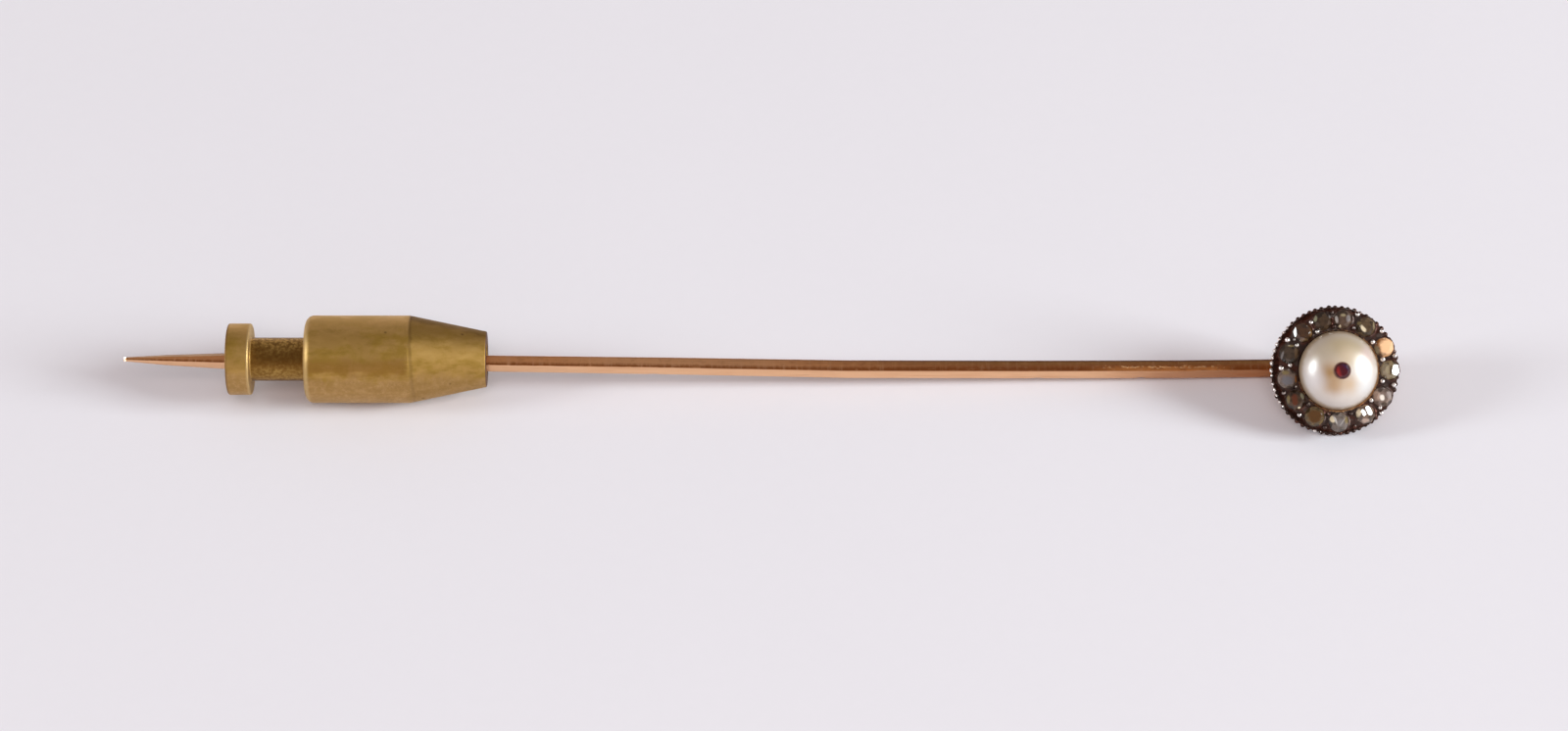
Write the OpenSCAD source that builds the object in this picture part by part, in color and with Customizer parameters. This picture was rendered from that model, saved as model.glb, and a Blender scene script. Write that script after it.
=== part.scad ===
// A tie pin (stick pin) with its slide-on clutch, lying as it rests on a table.
// A square rose gold wire carries a round head: a ring of thirteen small diamonds in
// darkened silver with a beaded edge, round a button pearl that has a ruby in its crown.
// Millimetres. +X runs from the point to the head, +Z is up and -Y is the side that the
// face of the head leans to. The origin is on the table, under the middle of the pin.

/* [Stem] */
// Length from the tip of the point to the middle of the head
stem_len = 65.8; // [55:0.1:90]
// Side of the square wire where it meets the head
wire_side = 0.75; // [0.7:0.01:0.9]
// Length of the tapered point
point_len = 5.3; // [4:0.1:8]
// Side of the small blunt end of the point
tip_side = 0.16; // [0.1:0.01:0.3]
// Turn of the wire about its length: one corner faces the viewer, a little below the middle
wire_turn = 10; // [0:1:20]
// How far the wire bows away from a straight line, at most
bow = 0.27; // [0:0.01:0.3]

/* [Head] */
// Tilt of the head's face from facing straight up, towards the viewer
face_tilt = 45; // [40:1:50]
// Radius of the circle that the middles of the rim beads lie on
rim_r = 3.40; // [3.3:0.01:3.6]
// Radius of one rim bead
bead_r = 0.165; // [0.12:0.005:0.2]
// Number of beads round the rim
bead_count = 60; // [48:1:72]
// Height of the setting's top face above the middle of the rim beads
setting_h = 1.1; // [1:0.05:1.5]
// Radius of the setting at its top face
setting_top_r = 3.38; // [3.37:0.01:3.5]
// How far the middle of the head lies below the line of the wire, seen square to its face
head_drop = 0.16; // [0:0.01:0.3]
// Radius of the gallery's small end, where it is soldered to the wire
gallery_foot_r = 0.8; // [0.7:0.05:0.9]
// Radius of the gallery's wide end, behind the rim
gallery_r = 3.05; // [2.5:0.05:3.1]
// Wall of the gallery
gallery_wall = 0.4; // [0.3:0.05:0.5]

/* [Stones] */
// Radius of the circle that the middles of the stones lie on
ring_r = 2.78; // [2.74:0.01:2.8]
// Height of a stone from its flat back to its table
stone_h = 0.42; // [0.3:0.01:0.5]
// Width of a stone's table, as a share of its diameter
table_share = 0.52; // [0.4:0.01:0.6]
// Depth of a stone's seat in the top face
seat_depth = 0.12; // [0.1:0.01:0.2]
// Radius of a grain: the raised bead of metal between two stones
grain_r = 0.13; // [0.1:0.01:0.14]

/* [Pearl] */
// Radius of the pearl at its widest
pearl_r = 2.13; // [2:0.01:2.14]
// Height of the pearl above its widest circle
pearl_rise = 1.3; // [1:0.05:2]
// Depth of the pearl below its widest circle
pearl_sink = 0.85; // [0.6:0.05:0.9]
// Diameter of the ruby in the pearl's crown
ruby_d = 0.9; // [0.7:0.05:1]

/* [Clutch] */
// Distance from the tip of the point to the knob's outer face
clutch_from_tip = 5.73; // [5.5:0.01:12]
// Radius of the knob
knob_r = 1.95; // [1.7:0.01:2.2]
// Thickness of the knob
knob_t = 1.26; // [1:0.02:1.6]
// Radius of the neck that joins the knob to the inside of the barrel
neck_r = 1.18; // [1.14:0.01:1.3]
// Length of neck that shows between the knob and the barrel
neck_show = 2.96; // [2:0.02:4]
// Radius of the barrel
barrel_r = 2.39; // [2.2:0.01:2.6]
// Length of the barrel's straight part with its rounded end
barrel_len = 5.67; // [5:0.01:7]
// Length of the conical nose
nose_len = 4.18; // [3:0.02:5]
// Radius of the nose at its end
nose_r = 1.53; // [1.5:0.01:1.7]
// Radius of the hole for the wire, which clears its corners and its bow along the whole slide
hole_r = 0.86; // [0.85:0.01:0.95]
// How far the clutch's axis lies above the line of the wire, seen square to the head's face
clutch_rise = 0.09; // [0:0.01:0.1]
// Angle between the clutch and the wire, seen square to the head's face
clutch_cock = 0.37; // [0:0.01:0.4]

/* [Hidden] */
$fn = 48;

// Small gaps between pieces that are set in one another
set_gap = 0.02;
running_gap = 0.04;
sliver = 0.01;

// The wire, section by section from the tip: place along the stem and side of the square,
// as shares of stem_len and wire_side, and bow as a share of the largest
PLACE = 0;
SIDE = 1;
SAG = 2;
wire_sections = [
    [0, tip_side / wire_side, 0],
    [point_len * 0.45 / stem_len, 0.58, 0.12],
    [point_len / stem_len, 0.87, 0.22],
    [0.30, 0.91, 0.36],
    [0.46, 0.96, 0.62],
    [0.60, 1, 1],
    [0.75, 1, 0.82],
    [0.88, 1, 0.55],
    [1, 1, 0],
    [1 + 0.9 / stem_len, 1, 0]
];

// The thirteen stones, clockwise from the top of the face: place round the ring, diameter,
// and turn of the facets about the stone's own middle
TURN = 0;
ACROSS = 1;
SPIN = 2;
stones = [
    [5, 1.00, 12], [32, 1.06, 40], [63, 1.06, 3], [89, 1.06, 0], [120.5, 1.06, 25],
    [147.5, 1.06, 8], [179, 1.06, 50], [207, 1.06, 33], [235, 1.08, 18], [260.5, 1.06, 5],
    [288.5, 1.08, 44], [316.5, 1.06, 28], [342, 1.00, 55]
];

// Lowest reach of the turned square wire below its own middle
wire_low = wire_side / 2 * (cos(wire_turn) + sin(wire_turn));
// The stem slopes down from the barrel, which lies on the table, to the wire's end, which
// touches the table under the head
shoulder_x = clutch_from_tip + knob_t + neck_show + barrel_len;
pitch = asin((barrel_r - clutch_rise * sin(face_tilt) - wire_low) / (stem_len - shoulder_x));
tip_z = wire_low + stem_len * sin(pitch);
// Distance from the wire to the middle of the rim beads along the face's normal, such that
// the lowest bead touches the table too
rim_n = (head_drop * sin(face_tilt) + rim_r * sin(face_tilt) + bead_r - wire_low) / cos(face_tilt);
// Middle of the whole pin, seen from above
reach_x = (stem_len + rim_r + bead_r) * cos(pitch) + rim_n * cos(face_tilt) * sin(pitch);
front_y = (rim_n + setting_h) * sin(face_tilt) + (setting_top_r + head_drop) * cos(face_tilt);
back_y = barrel_r + clutch_rise * cos(face_tilt);
mid_y = (front_y - back_y) / 2;

plate_h = 0.15;
seat_z = setting_h - seat_depth;
pocket_floor = setting_h - pearl_sink;
ruby_seat = 0.42;
girdle_h = 0.06;
edge_round = 0.16;
barrel_round = 0.8;
nose_chamfer = 0.15;
neck_inside = 2.6;
neck_bore_len = 4.4;

// Puts what is drawn along the stem's line, from its tip at zero, where the pin rests
module resting() {
    translate([-reach_x / 2, mid_y, tip_z])
        rotate([0, pitch, 0])
            children();
}

// Puts what is drawn about the middle of the rim, with its face up, on the resting stem
module on_head() {
    resting()
        translate([stem_len, 0, 0])
            rotate([face_tilt, 0, 0])
                translate([0, -head_drop, rim_n])
                    children();
}

// Puts what is drawn along +Z from the knob's outer face on the resting stem
module on_clutch() {
    clutch_len = knob_t + neck_show + barrel_len + nose_len;
    resting()
        rotate([face_tilt, 0, 0])
            translate([clutch_from_tip + clutch_len / 2, clutch_rise, 0])
                rotate([0, 0, clutch_cock])
                    translate([-clutch_len / 2, 0, 0])
                        rotate([0, 90, 0])
                            children();
}

// One thin slice of the wire at a row of wire_sections
module wire_slice(row) {
    side = wire_side * row[SIDE];
    rotate([face_tilt, 0, 0])
        translate([stem_len * row[PLACE], -bow * row[SAG], 0])
            rotate([wire_turn - face_tilt, 0, 0])
                cube([sliver, side, side], center = true);
}

module wire() {
    for (i = [0 : len(wire_sections) - 2])
        hull() {
            wire_slice(wire_sections[i]);
            wire_slice(wire_sections[i + 1]);
        }
}

// The plain gold cone that backs the head, hollow under the setting
module gallery() {
    foot_n = wire_side / 2 - rim_n - 0.1;
    top_n = -plate_h - set_gap;
    height = top_n - foot_n;
    floor_h = 0.35;
    translate([0, head_drop, foot_n])
        difference() {
            cylinder(r1 = gallery_foot_r, r2 = gallery_r, h = height);
            translate([0, 0, floor_h])
                cylinder(
                    r1 = gallery_foot_r + (gallery_r - gallery_foot_r) * floor_h / height - gallery_wall,
                    r2 = gallery_r - gallery_wall,
                    h = height - floor_h + sliver
                );
        }
}

module stem() {
    color("#b8734f") {
        resting() wire();
        on_head() gallery();
    }
}

// Ring of circles round the rim, which gives it its milled outline
module rim_outline() {
    circle(r = rim_r);
    for (i = [0 : bead_count - 1])
        rotate(i * 360 / bead_count)
            translate([rim_r, 0])
                circle(r = bead_r, $fn = 16);
}

function next_turn(i) = i + 1 < len(stones) ? stones[i + 1][TURN] : stones[0][TURN] + 360;

// Two grains in each gap between neighbouring stones, near the wall and near the pearl
module grains() {
    for (i = [0 : len(stones) - 1])
        for (r = [ring_r + 0.38, ring_r - 0.39])
            rotate(90 - (stones[i][TURN] + next_turn(i)) / 2)
                translate([r, 0, setting_h + grain_r / 3])
                    sphere(r = grain_r, $fn = 16);
}

module setting() {
    color("#4a4340")
        on_head() {
            difference() {
                union() {
                    translate([0, 0, -plate_h]) linear_extrude(2 * plate_h) rim_outline();
                    cylinder(r1 = rim_r, r2 = setting_top_r, h = setting_h);
                }
                translate([0, 0, pocket_floor])
                    cylinder(r = pearl_r + 1.5 * set_gap, h = pearl_sink + 1);
                for (s = stones)
                    rotate(90 - s[TURN])
                        translate([ring_r, 0, seat_z])
                            cylinder(d = s[ACROSS] + 2 * set_gap, h = seat_depth + 1);
            }
            grains();
        }
}

// Outline of the pearl from its axis: flatter below than above its widest circle
function pearl_outline(steps = 24) = [
    for (i = [0 : steps])
        let (a = -90 + 180 * i / steps)
            [pearl_r * cos(a), (a < 0 ? pearl_sink : pearl_rise) * sin(a)]
];

module pearl() {
    color("#e9e0d0")
        on_head()
            translate([0, 0, setting_h + 2 * set_gap])
                difference() {
                    rotate_extrude() polygon(pearl_outline());
                    translate([0, 0, pearl_rise - ruby_seat])
                        cylinder(d = ruby_d + 2 * set_gap, h = ruby_seat + 1);
                }
}

// An eight sided stone with a table and a pointed back, flush with the pearl's crown
module ruby() {
    color("#6d1424")
        on_head()
            translate([0, 0, setting_h + 2 * set_gap + pearl_rise - girdle_h])
                hull() {
                    cylinder(d = ruby_d, h = girdle_h, $fn = 8);
                    translate([0, 0, 0.14]) cylinder(d = ruby_d * 0.55, h = sliver, $fn = 8);
                    translate([0, 0, -0.3]) cylinder(d = 0.1, h = sliver, $fn = 8);
                }
}

// A rose cut diamond with a flat back: twelve sided girdle and a six sided table
module stone(i) {
    s = stones[i];
    color("#b9b3a2")
        on_head()
            rotate(90 - s[TURN])
                translate([ring_r, 0, seat_z + set_gap])
                    rotate(s[SPIN])
                        hull() {
                            cylinder(d = s[ACROSS], h = seat_depth + girdle_h, $fn = 12);
                            translate([0, 0, stone_h - sliver])
                                cylinder(d = s[ACROSS] * table_share, h = sliver, $fn = 6);
                        }
}

// Half of a knob's section: a rectangle from the axis with two rounded outer corners
module rounded_section(r, h) {
    square([r - edge_round, h]);
    translate([0, edge_round]) square([r, h - 2 * edge_round]);
    for (z = [edge_round, h - edge_round])
        translate([r - edge_round, z]) circle(r = edge_round, $fn = 24);
}

module clutch_plunger() {
    color("#9a7a3c")
        on_clutch()
            difference() {
                union() {
                    rotate_extrude() rounded_section(knob_r, knob_t);
                    cylinder(r = neck_r, h = knob_t + neck_show + neck_inside);
                }
                translate([0, 0, -1])
                    cylinder(r = hole_r, h = knob_t + neck_show + neck_inside + 2);
            }
}

// Half of the barrel's section: one end rounded, then straight to the shoulder
module barrel_section() {
    square([barrel_r - barrel_round, barrel_len]);
    translate([0, barrel_round]) square([barrel_r, barrel_len - barrel_round]);
    translate([barrel_r - barrel_round, barrel_round]) circle(r = barrel_round);
}

module clutch_barrel() {
    color("#9a7a3c")
        on_clutch()
            translate([0, 0, knob_t + neck_show])
                difference() {
                    union() {
                        rotate_extrude() barrel_section();
                        translate([0, 0, barrel_len])
                            cylinder(r1 = barrel_r, r2 = nose_r, h = nose_len - nose_chamfer);
                        translate([0, 0, barrel_len + nose_len - nose_chamfer])
                            cylinder(r1 = nose_r, r2 = nose_r - 1.4 * nose_chamfer, h = nose_chamfer);
                    }
                    translate([0, 0, -1])
                        cylinder(r = neck_r + running_gap, h = neck_bore_len + 1);
                    cylinder(r = hole_r, h = barrel_len + nose_len + 1);
                }
}

stem();
clutch_plunger();
clutch_barrel();
setting();
pearl();
ruby();
stone(0);  // stone_01
stone(1);  // stone_02
stone(2);  // stone_03
stone(3);  // stone_04
stone(4);  // stone_05
stone(5);  // stone_06
stone(6);  // stone_07
stone(7);  // stone_08
stone(8);  // stone_09
stone(9);  // stone_10
stone(10);  // stone_11
stone(11);  // stone_12
stone(12);  // stone_13
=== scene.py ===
# %% [markdown]
# A tie pin, dressed for its portrait
#
# The pin is a square rose gold wire with a round jewelled head: thirteen little diamonds in
# darkened silver round a button pearl, which has a ruby in its crown. A brass clutch grips the
# point. The solid model gives every piece its place and its size. This lesson gives each one
# the surface that the real thing has. All lengths are metres, so small ones are written as a
# number of millimetres times MM.

# %% Load the solid model
import math
from types import SimpleNamespace

import bmesh
import bpy
import numpy as np
from mathutils import Matrix, Vector


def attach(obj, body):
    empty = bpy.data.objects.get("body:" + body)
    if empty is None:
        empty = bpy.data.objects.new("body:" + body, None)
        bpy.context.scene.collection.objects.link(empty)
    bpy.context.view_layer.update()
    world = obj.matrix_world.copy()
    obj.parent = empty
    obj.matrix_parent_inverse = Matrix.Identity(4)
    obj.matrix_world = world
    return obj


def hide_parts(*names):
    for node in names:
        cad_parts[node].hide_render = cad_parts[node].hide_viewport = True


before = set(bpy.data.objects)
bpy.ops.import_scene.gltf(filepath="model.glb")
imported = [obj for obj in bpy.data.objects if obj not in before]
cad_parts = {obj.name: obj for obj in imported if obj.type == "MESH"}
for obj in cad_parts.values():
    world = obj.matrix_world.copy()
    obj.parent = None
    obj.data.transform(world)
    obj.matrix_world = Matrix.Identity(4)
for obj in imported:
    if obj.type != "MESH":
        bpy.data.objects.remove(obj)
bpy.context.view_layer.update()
MM = 0.001

# %% [markdown]
# Where things are
#
# Everything on the head is drawn flat, as a jeweller draws it: face up, with the middle of the
# rim at zero and the top of the face along +Y. Everything on the clutch is drawn as a turner
# draws it: along +Z from the knob's outer face. The wire is drawn along +X from its tip. Three
# matrices then put the drawings where the solid model has those parts: ON_HEAD, ON_CLUTCH and
# RESTING. A fourth, FACING, is RESTING turned until +Y points up the face of the head. The
# sizes here are the ones that the solid model was made from.

# %% Sizes of the pin
# The wire, its point and how far it bows
STEM_LEN = 65.8 * MM
WIRE_SIDE = 0.75 * MM
POINT_LEN = 5.3 * MM
TIP_SIDE = 0.16 * MM
WIRE_TURN = math.radians(10)
BOW = 0.27 * MM

# The head: its rim, its face, the ring of stones, the pearl and the ruby
FACE_TILT = math.radians(45)
RIM_R = 3.40 * MM
BEAD_R = 0.165 * MM
BEAD_COUNT = 60
SETTING_H = 1.1 * MM
SETTING_TOP_R = 3.38 * MM
HEAD_DROP = 0.16 * MM
PLATE_H = 0.15 * MM
RING_R = 2.78 * MM
SEAT_DEPTH = 0.12 * MM
PEARL_R = 2.13 * MM
PEARL_RISE = 1.3 * MM
PEARL_SINK = 0.85 * MM
RUBY_D = 0.9 * MM
SET_GAP = 0.02 * MM

# The clutch: its knob, the neck, the barrel, the cone of its nose and the hole for the wire
CLUTCH_FROM_TIP = 5.73 * MM
KNOB_R = 1.95 * MM
KNOB_T = 1.26 * MM
NECK_R = 1.18 * MM
NECK_SHOW = 2.96 * MM
NECK_INSIDE = 2.6 * MM
NECK_BORE_R = 1.22 * MM
NECK_BORE_LEN = 4.4 * MM
BARREL_R = 2.39 * MM
BARREL_LEN = 5.67 * MM
NOSE_LEN = 4.18 * MM
NOSE_R = 1.53 * MM
HOLE_R = 0.86 * MM
CLUTCH_RISE = 0.09 * MM
CLUTCH_COCK = math.radians(0.37)

# Where the barrel starts, where the cone starts and where the clutch ends, from the knob's face
barrel_z = KNOB_T + NECK_SHOW
shoulder_z = barrel_z + BARREL_LEN
nose_z = shoulder_z + NOSE_LEN
print("the clutch is", round(nose_z / MM, 2), "mm long on a wire of", round(STEM_LEN / MM, 2), "mm")

# %% How the pin rests, and where its head and clutch are
# A name that ends in _x, _y or _z is a place along that axis, and one that ends in _n is a
# height square to the face of the head
wire_low = WIRE_SIDE / 2 * (math.cos(WIRE_TURN) + math.sin(WIRE_TURN))
shoulder_x = CLUTCH_FROM_TIP + shoulder_z
barrel_low = BARREL_R - CLUTCH_RISE * math.sin(FACE_TILT)
pitch = math.asin((barrel_low - wire_low) / (STEM_LEN - shoulder_x))
tip_z = wire_low + STEM_LEN * math.sin(pitch)
rim_n = ((HEAD_DROP + RIM_R) * math.sin(FACE_TILT) + BEAD_R - wire_low) / math.cos(FACE_TILT)
reach_x = (STEM_LEN + RIM_R + BEAD_R) * math.cos(pitch) + rim_n * math.cos(FACE_TILT) * math.sin(pitch)
front_y = (rim_n + SETTING_H) * math.sin(FACE_TILT) + (SETTING_TOP_R + HEAD_DROP) * math.cos(FACE_TILT)
back_y = BARREL_R + CLUTCH_RISE * math.cos(FACE_TILT)


def moved(x=0.0, y=0.0, z=0.0):
    return Matrix.Translation((x, y, z))


def turned(angle, axis):
    return Matrix.Rotation(angle, 4, axis)


def on_circle(radius, angle, height=0.0):
    """A point on a circle round the Z axis of a drawing."""
    return (radius * math.cos(angle), radius * math.sin(angle), height)


RESTING = moved(-reach_x / 2, (front_y - back_y) / 2, tip_z) @ turned(pitch, "Y")
FACING = RESTING @ turned(FACE_TILT, "X")
ON_HEAD = RESTING @ moved(x=STEM_LEN) @ turned(FACE_TILT, "X") @ moved(y=-HEAD_DROP, z=rim_n)
ON_CLUTCH = (
    FACING
    @ moved(nose_z / 2 + CLUTCH_FROM_TIP, CLUTCH_RISE)
    @ turned(CLUTCH_COCK, "Z")
    @ moved(x=-nose_z / 2)
    @ turned(math.pi / 2, "Y")
)
print("the head's middle is at", [round(place / MM, 3) for place in ON_HEAD.translation], "mm")

# %% [markdown]
# The camera
#
# The photograph was taken from in front and 45 degrees above the table, square to the face of
# the head, with a long lens: the head shows as a round disc and hardly any side. A plain look-at
# with a small roll is enough, because the pin lies about one degree off level in the picture.

# %% Set up the camera
CAMERA_DISTANCE = 200 * MM
CAMERA_RISE = math.radians(45)
CAMERA_ROLL = math.radians(-1.133)
CAMERA_TARGET = Vector((1.33, 1.462, 1.5)) * MM
FOCAL_PIXELS = 3723
IMAGE_WIDTH = 1600
SENSOR_WIDTH = 36.0
NEAREST, FARTHEST = 10 * MM, 10.0

camera_data = bpy.data.cameras.new("portrait_camera")
camera_data.sensor_width = SENSOR_WIDTH
camera_data.lens = SENSOR_WIDTH * FOCAL_PIXELS / IMAGE_WIDTH
camera_data.clip_start = NEAREST
camera_data.clip_end = FARTHEST
camera = bpy.data.objects.new("portrait_camera", camera_data)
camera.matrix_world = (
    Matrix.Translation(CAMERA_TARGET)
    @ turned(math.pi / 2 - CAMERA_RISE, "X")
    @ moved(z=CAMERA_DISTANCE)
    @ turned(CAMERA_ROLL, "Z")
)
bpy.context.scene.collection.objects.link(camera)
bpy.context.scene.camera = camera
camera_place = camera.matrix_world.translation.copy()
print("the lens is", round(camera_data.lens, 1), "mm long")

# %% [markdown]
# Two softboxes, a fill light and a dim room
#
# The shadows in the photograph are soft, long and double: a low softbox stands at the right, a
# weaker one at the left, and the shadows are never black, because a fill light stands above the
# camera and the room glows a little. Area lights do this. All stand a metre off, so that they
# light the whole pin alike, and their sizes are worked out from the angle that each fills as
# the pin sees it. The fill light is kept out of reflections, because a real one would be a wide
# white ceiling, and a lamp of this size would put a bright spot in the middle of every stone.

# %% Set up the lights
LIGHT_DISTANCE = 1.0
SOFTBOX_TINT = (0.93, 1.0, 1.02)
ROOM_TINT = (1.12, 0.94, 0.90)
# Azimuth runs from +X toward +Y, and the viewer is at -90; all angles are in degrees
LIGHTS = {
    "right": {"azimuth": -14.5, "elevation": 22.7, "half_width": 9.8, "half_height": 11.5, "radiance": 24.3},
    "left": {"azimuth": -170.8, "elevation": 22.8, "half_width": 7.0, "half_height": 9.8, "radiance": 15.6},
    "fill": {"azimuth": -92.0, "elevation": 52.0, "half_width": 12.0, "half_height": 12.0, "radiance": 3.8},
}


def light_direction(light):
    """Unit vector from the pin to a light."""
    turn, rise = math.radians(light["azimuth"]), math.radians(light["elevation"])
    return Vector(on_circle(math.cos(rise), turn, math.sin(rise)))


def add_light(name, tint):
    """A rectangular area light that faces the pin."""
    light = LIGHTS[name]
    data = bpy.data.lights.new("light_" + name, "AREA")
    data.shape = "RECTANGLE"
    data.size = 2 * LIGHT_DISTANCE * math.tan(math.radians(light["half_width"]))
    data.size_y = 2 * LIGHT_DISTANCE * math.tan(math.radians(light["half_height"]))
    data.energy = light["radiance"] * math.pi * data.size * data.size_y
    data.color = tint
    box = bpy.data.objects.new("light_" + name, data)
    box.location = light_direction(light) * LIGHT_DISTANCE
    box.rotation_euler = light_direction(light).to_track_quat("Z", "Y").to_euler()
    bpy.context.scene.collection.objects.link(box)
    return box


add_light("right", SOFTBOX_TINT)
add_light("left", SOFTBOX_TINT)
fill_light = add_light("fill", ROOM_TINT)
fill_light.visible_glossy = False

bpy.context.scene.view_settings.view_transform = "Standard"
print("the right softbox shines from", [round(part, 2) for part in light_direction(LIGHTS["right"])])

# %% [markdown]
# Writing a finish as sums
#
# A finish is a web of nodes, but most of the web is plain arithmetic: this much tarnish times
# that much wear. The class below wraps a node's output, so that such sums are written in
# Python's own signs and each sign lays down its Math node. Everything that isn't arithmetic
# comes from one method, Web.node. The room's glow is such a web too, and comes first.


# %% A value that sums can be written with
class Value:
    """The output of a node in a web. Sums of numbers and Values add Math nodes."""

    def __init__(self, web, socket):
        self.web = web
        self.socket = socket

    def sum_of(self, operation, *values):
        return self.web.node("Math", {"operation": operation}, dict(enumerate(values)))

    def __add__(self, other):
        return self.sum_of("ADD", self, other)

    def __sub__(self, other):
        return self.sum_of("SUBTRACT", self, other)

    def __rsub__(self, other):
        return self.sum_of("SUBTRACT", other, self)

    def __mul__(self, other):
        return self.sum_of("MULTIPLY", self, other)

    def __pow__(self, other):
        return self.sum_of("POWER", self, other)

    def __abs__(self):
        return self.sum_of("ABSOLUTE", self)

    __radd__ = __add__
    __rmul__ = __mul__


def distance(x, y):
    """How far a point is from zero, from its two numbers."""
    return (x * x + y * y) ** 0.5


# %% A web of nodes
def find_socket(sockets, key):
    """A socket by its number, its identifier or its name."""
    if isinstance(key, int):
        return sockets[key]
    exact = [socket for socket in sockets if socket.identifier == key]
    return exact[0] if exact else next(socket for socket in sockets if socket.name == key)


def set_stops(ramp, stops):
    """Gives a colour ramp its stops, each a place and a colour."""
    while len(ramp.elements) < len(stops):
        ramp.elements.new(0.5)
    for element, (place, colour) in zip(ramp.elements, stops):
        element.position = place
        element.color = (*colour, 1)


class Web:
    """The nodes of a finish, or of the room."""

    def __init__(self, tree):
        self.nodes = tree.nodes
        self.links = tree.links

    def plug(self, sockets, values):
        """Gives each named socket a number, a colour or a link."""
        for key, value in values.items():
            socket = find_socket(sockets, key)
            if isinstance(value, Value):
                self.links.new(value.socket, socket)
            elif isinstance(value, tuple) and socket.type == "RGBA" and len(value) == 3:
                socket.default_value = (*value, 1)
            else:
                socket.default_value = value

    def node(self, kind, settings=None, values=None, output=0):
        """Adds a node, makes its settings, fills its sockets and returns one of its outputs."""
        new = self.nodes.new("ShaderNode" + kind)
        for key, value in (settings or {}).items():
            if key == "stops":
                set_stops(new.color_ramp, value)
            else:
                setattr(new, key, value)
        self.plug(new.inputs, values or {})
        return Value(self, find_socket(new.outputs, output))


# %% Let the room glow, more near the horizon than overhead
# How bright the room is at some heights, from 0 at the horizon to 1 overhead
ROOM_GLOW = [(0.0, 0.75), (0.35, 0.41), (0.6, 0.24), (1.0, 0.28)]

world = bpy.data.worlds.new("dim_room")
world.use_nodes = True
room = Web(world.node_tree)
height = room.node("SeparateXYZ", {}, {0: room.node("TexCoord", output="Generated")}, "Z")
stops = [(place, tuple(glow * tint for tint in ROOM_TINT)) for place, glow in ROOM_GLOW]
room_colour = room.node("ValToRGB", {"stops": stops}, {"Fac": height})
room.plug(room.nodes["Background"].inputs, {"Color": room_colour})
bpy.context.scene.world = world
print("the room's glow is made of", len(room.nodes), "nodes")


# %% A finish: one material, and the patterns and coats that it is made of
class Finish(Web):
    """A material round one Principled shader. Its home is the matrix that placed its drawing."""

    def __init__(self, name, settings, home=Matrix()):
        self.home = home
        self.material = bpy.data.materials.new(name)
        self.material.use_nodes = True
        super().__init__(self.material.node_tree)
        self.set(settings)

    def set(self, values):
        """Fills sockets of the shader."""
        self.plug(self.nodes["Principled BSDF"].inputs, values)

    def place(self, stretch=(1, 1, 1), shift=(0, 0, 0)):
        """Where a point is in the drawing, in millimetres, stretched along the drawing's axes."""
        values = {"Vector": self.node("TexCoord", output="Object"), "Scale": (MM, MM, MM)}
        values["Location"] = tuple(self.home.translation)
        values["Rotation"] = tuple(self.home.to_euler())
        drawn = self.node("Mapping", {"vector_type": "TEXTURE"}, values)
        return self.node("Mapping", {}, {"Vector": drawn, "Scale": stretch, "Location": shift})

    def axes(self, vector):
        """The three numbers of a vector."""
        split = self.node("SeparateXYZ", {}, {0: vector})
        return [Value(self, output) for output in split.socket.node.outputs]

    def mark(self, name):
        """A number that is stored on the points of the mesh."""
        return self.node("Attribute", {"attribute_name": name}, output="Fac")

    def noise(self, where, scale, detail=3.0, roughness=0.5, distortion=0.0):
        """Cloudy noise from 0 to 1. The scale is in clouds for each millimetre."""
        values = {"Vector": where, "Scale": scale, "Detail": detail, "Roughness": roughness}
        values["Distortion"] = distortion
        return self.node("TexNoise", {}, values, "Fac")

    def cells(self, where, scale):
        """Distance to the nearest of many scattered points."""
        return self.node("TexVoronoi", {}, {"Vector": where, "Scale": scale}, "Distance")

    def step(self, value, low, high, start=0.0, end=1.0):
        """Goes smoothly from start to end as value goes from low to high."""
        settings = {"interpolation_type": "SMOOTHSTEP"}
        values = {"Value": value, "From Min": low, "From Max": high, "To Min": start, "To Max": end}
        return self.node("MapRange", settings, values)

    def mix(self, first, second, share):
        """A colour between two colours."""
        values = {"Factor_Float": share, "A_Color": first, "B_Color": second}
        return self.node("Mix", {"data_type": "RGBA"}, values, "Result_Color")

    def coats(self, tone, *coats):
        """Lays coats over a tone, one after another. Each is a colour and how much of it there is."""
        for colour, share in coats:
            tone = self.mix(tone, colour, share)
        return tone

    def lean(self, first, second):
        """How much two directions point the same way: 1 for wholly, 0 when they are square."""
        return self.node("VectorMath", {"operation": "DOT_PRODUCT"}, {0: first, 1: second}, "Value")

    def bend(self, normal, way, share):
        """A direction between a surface's own normal and a fixed way."""
        values = {"Factor_Float": share, "A_Vector": normal, "B_Vector": tuple(way)}
        return self.node("Mix", {"data_type": "VECTOR"}, values, "Result_Vector")

    def bump(self, height, distance, strength=1.0, under=None):
        """Tilts the surface as if it stood up by height times distance."""
        values = {"Height": height, "Distance": distance, "Strength": strength}
        if under is not None:
            values["Normal"] = under
        return self.node("Bump", {}, values)


# %% [markdown]
# Making pieces
#
# Three ways of making shapes cover the whole pin. Turned parts are lathed: a closed outline is
# swung round the axis. The wire is lofted: a square with soft corners is drawn along the stem.
# The jewelled face is a pressed sheet: a fine round grid whose heights are worked out. Each
# ends in a mesh, and one helper turns a mesh into a piece that knows its place, the body that
# carries it and the solids that it stands for.


# %% Give a mesh its place
def mark_points(mesh, name, numbers):
    """Stores a number on each point of a mesh, for a finish to read."""
    mark = mesh.attributes.new(name, "FLOAT", "POINT")
    mark.data.foreach_set("value", np.array(numbers, np.float32))


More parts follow.
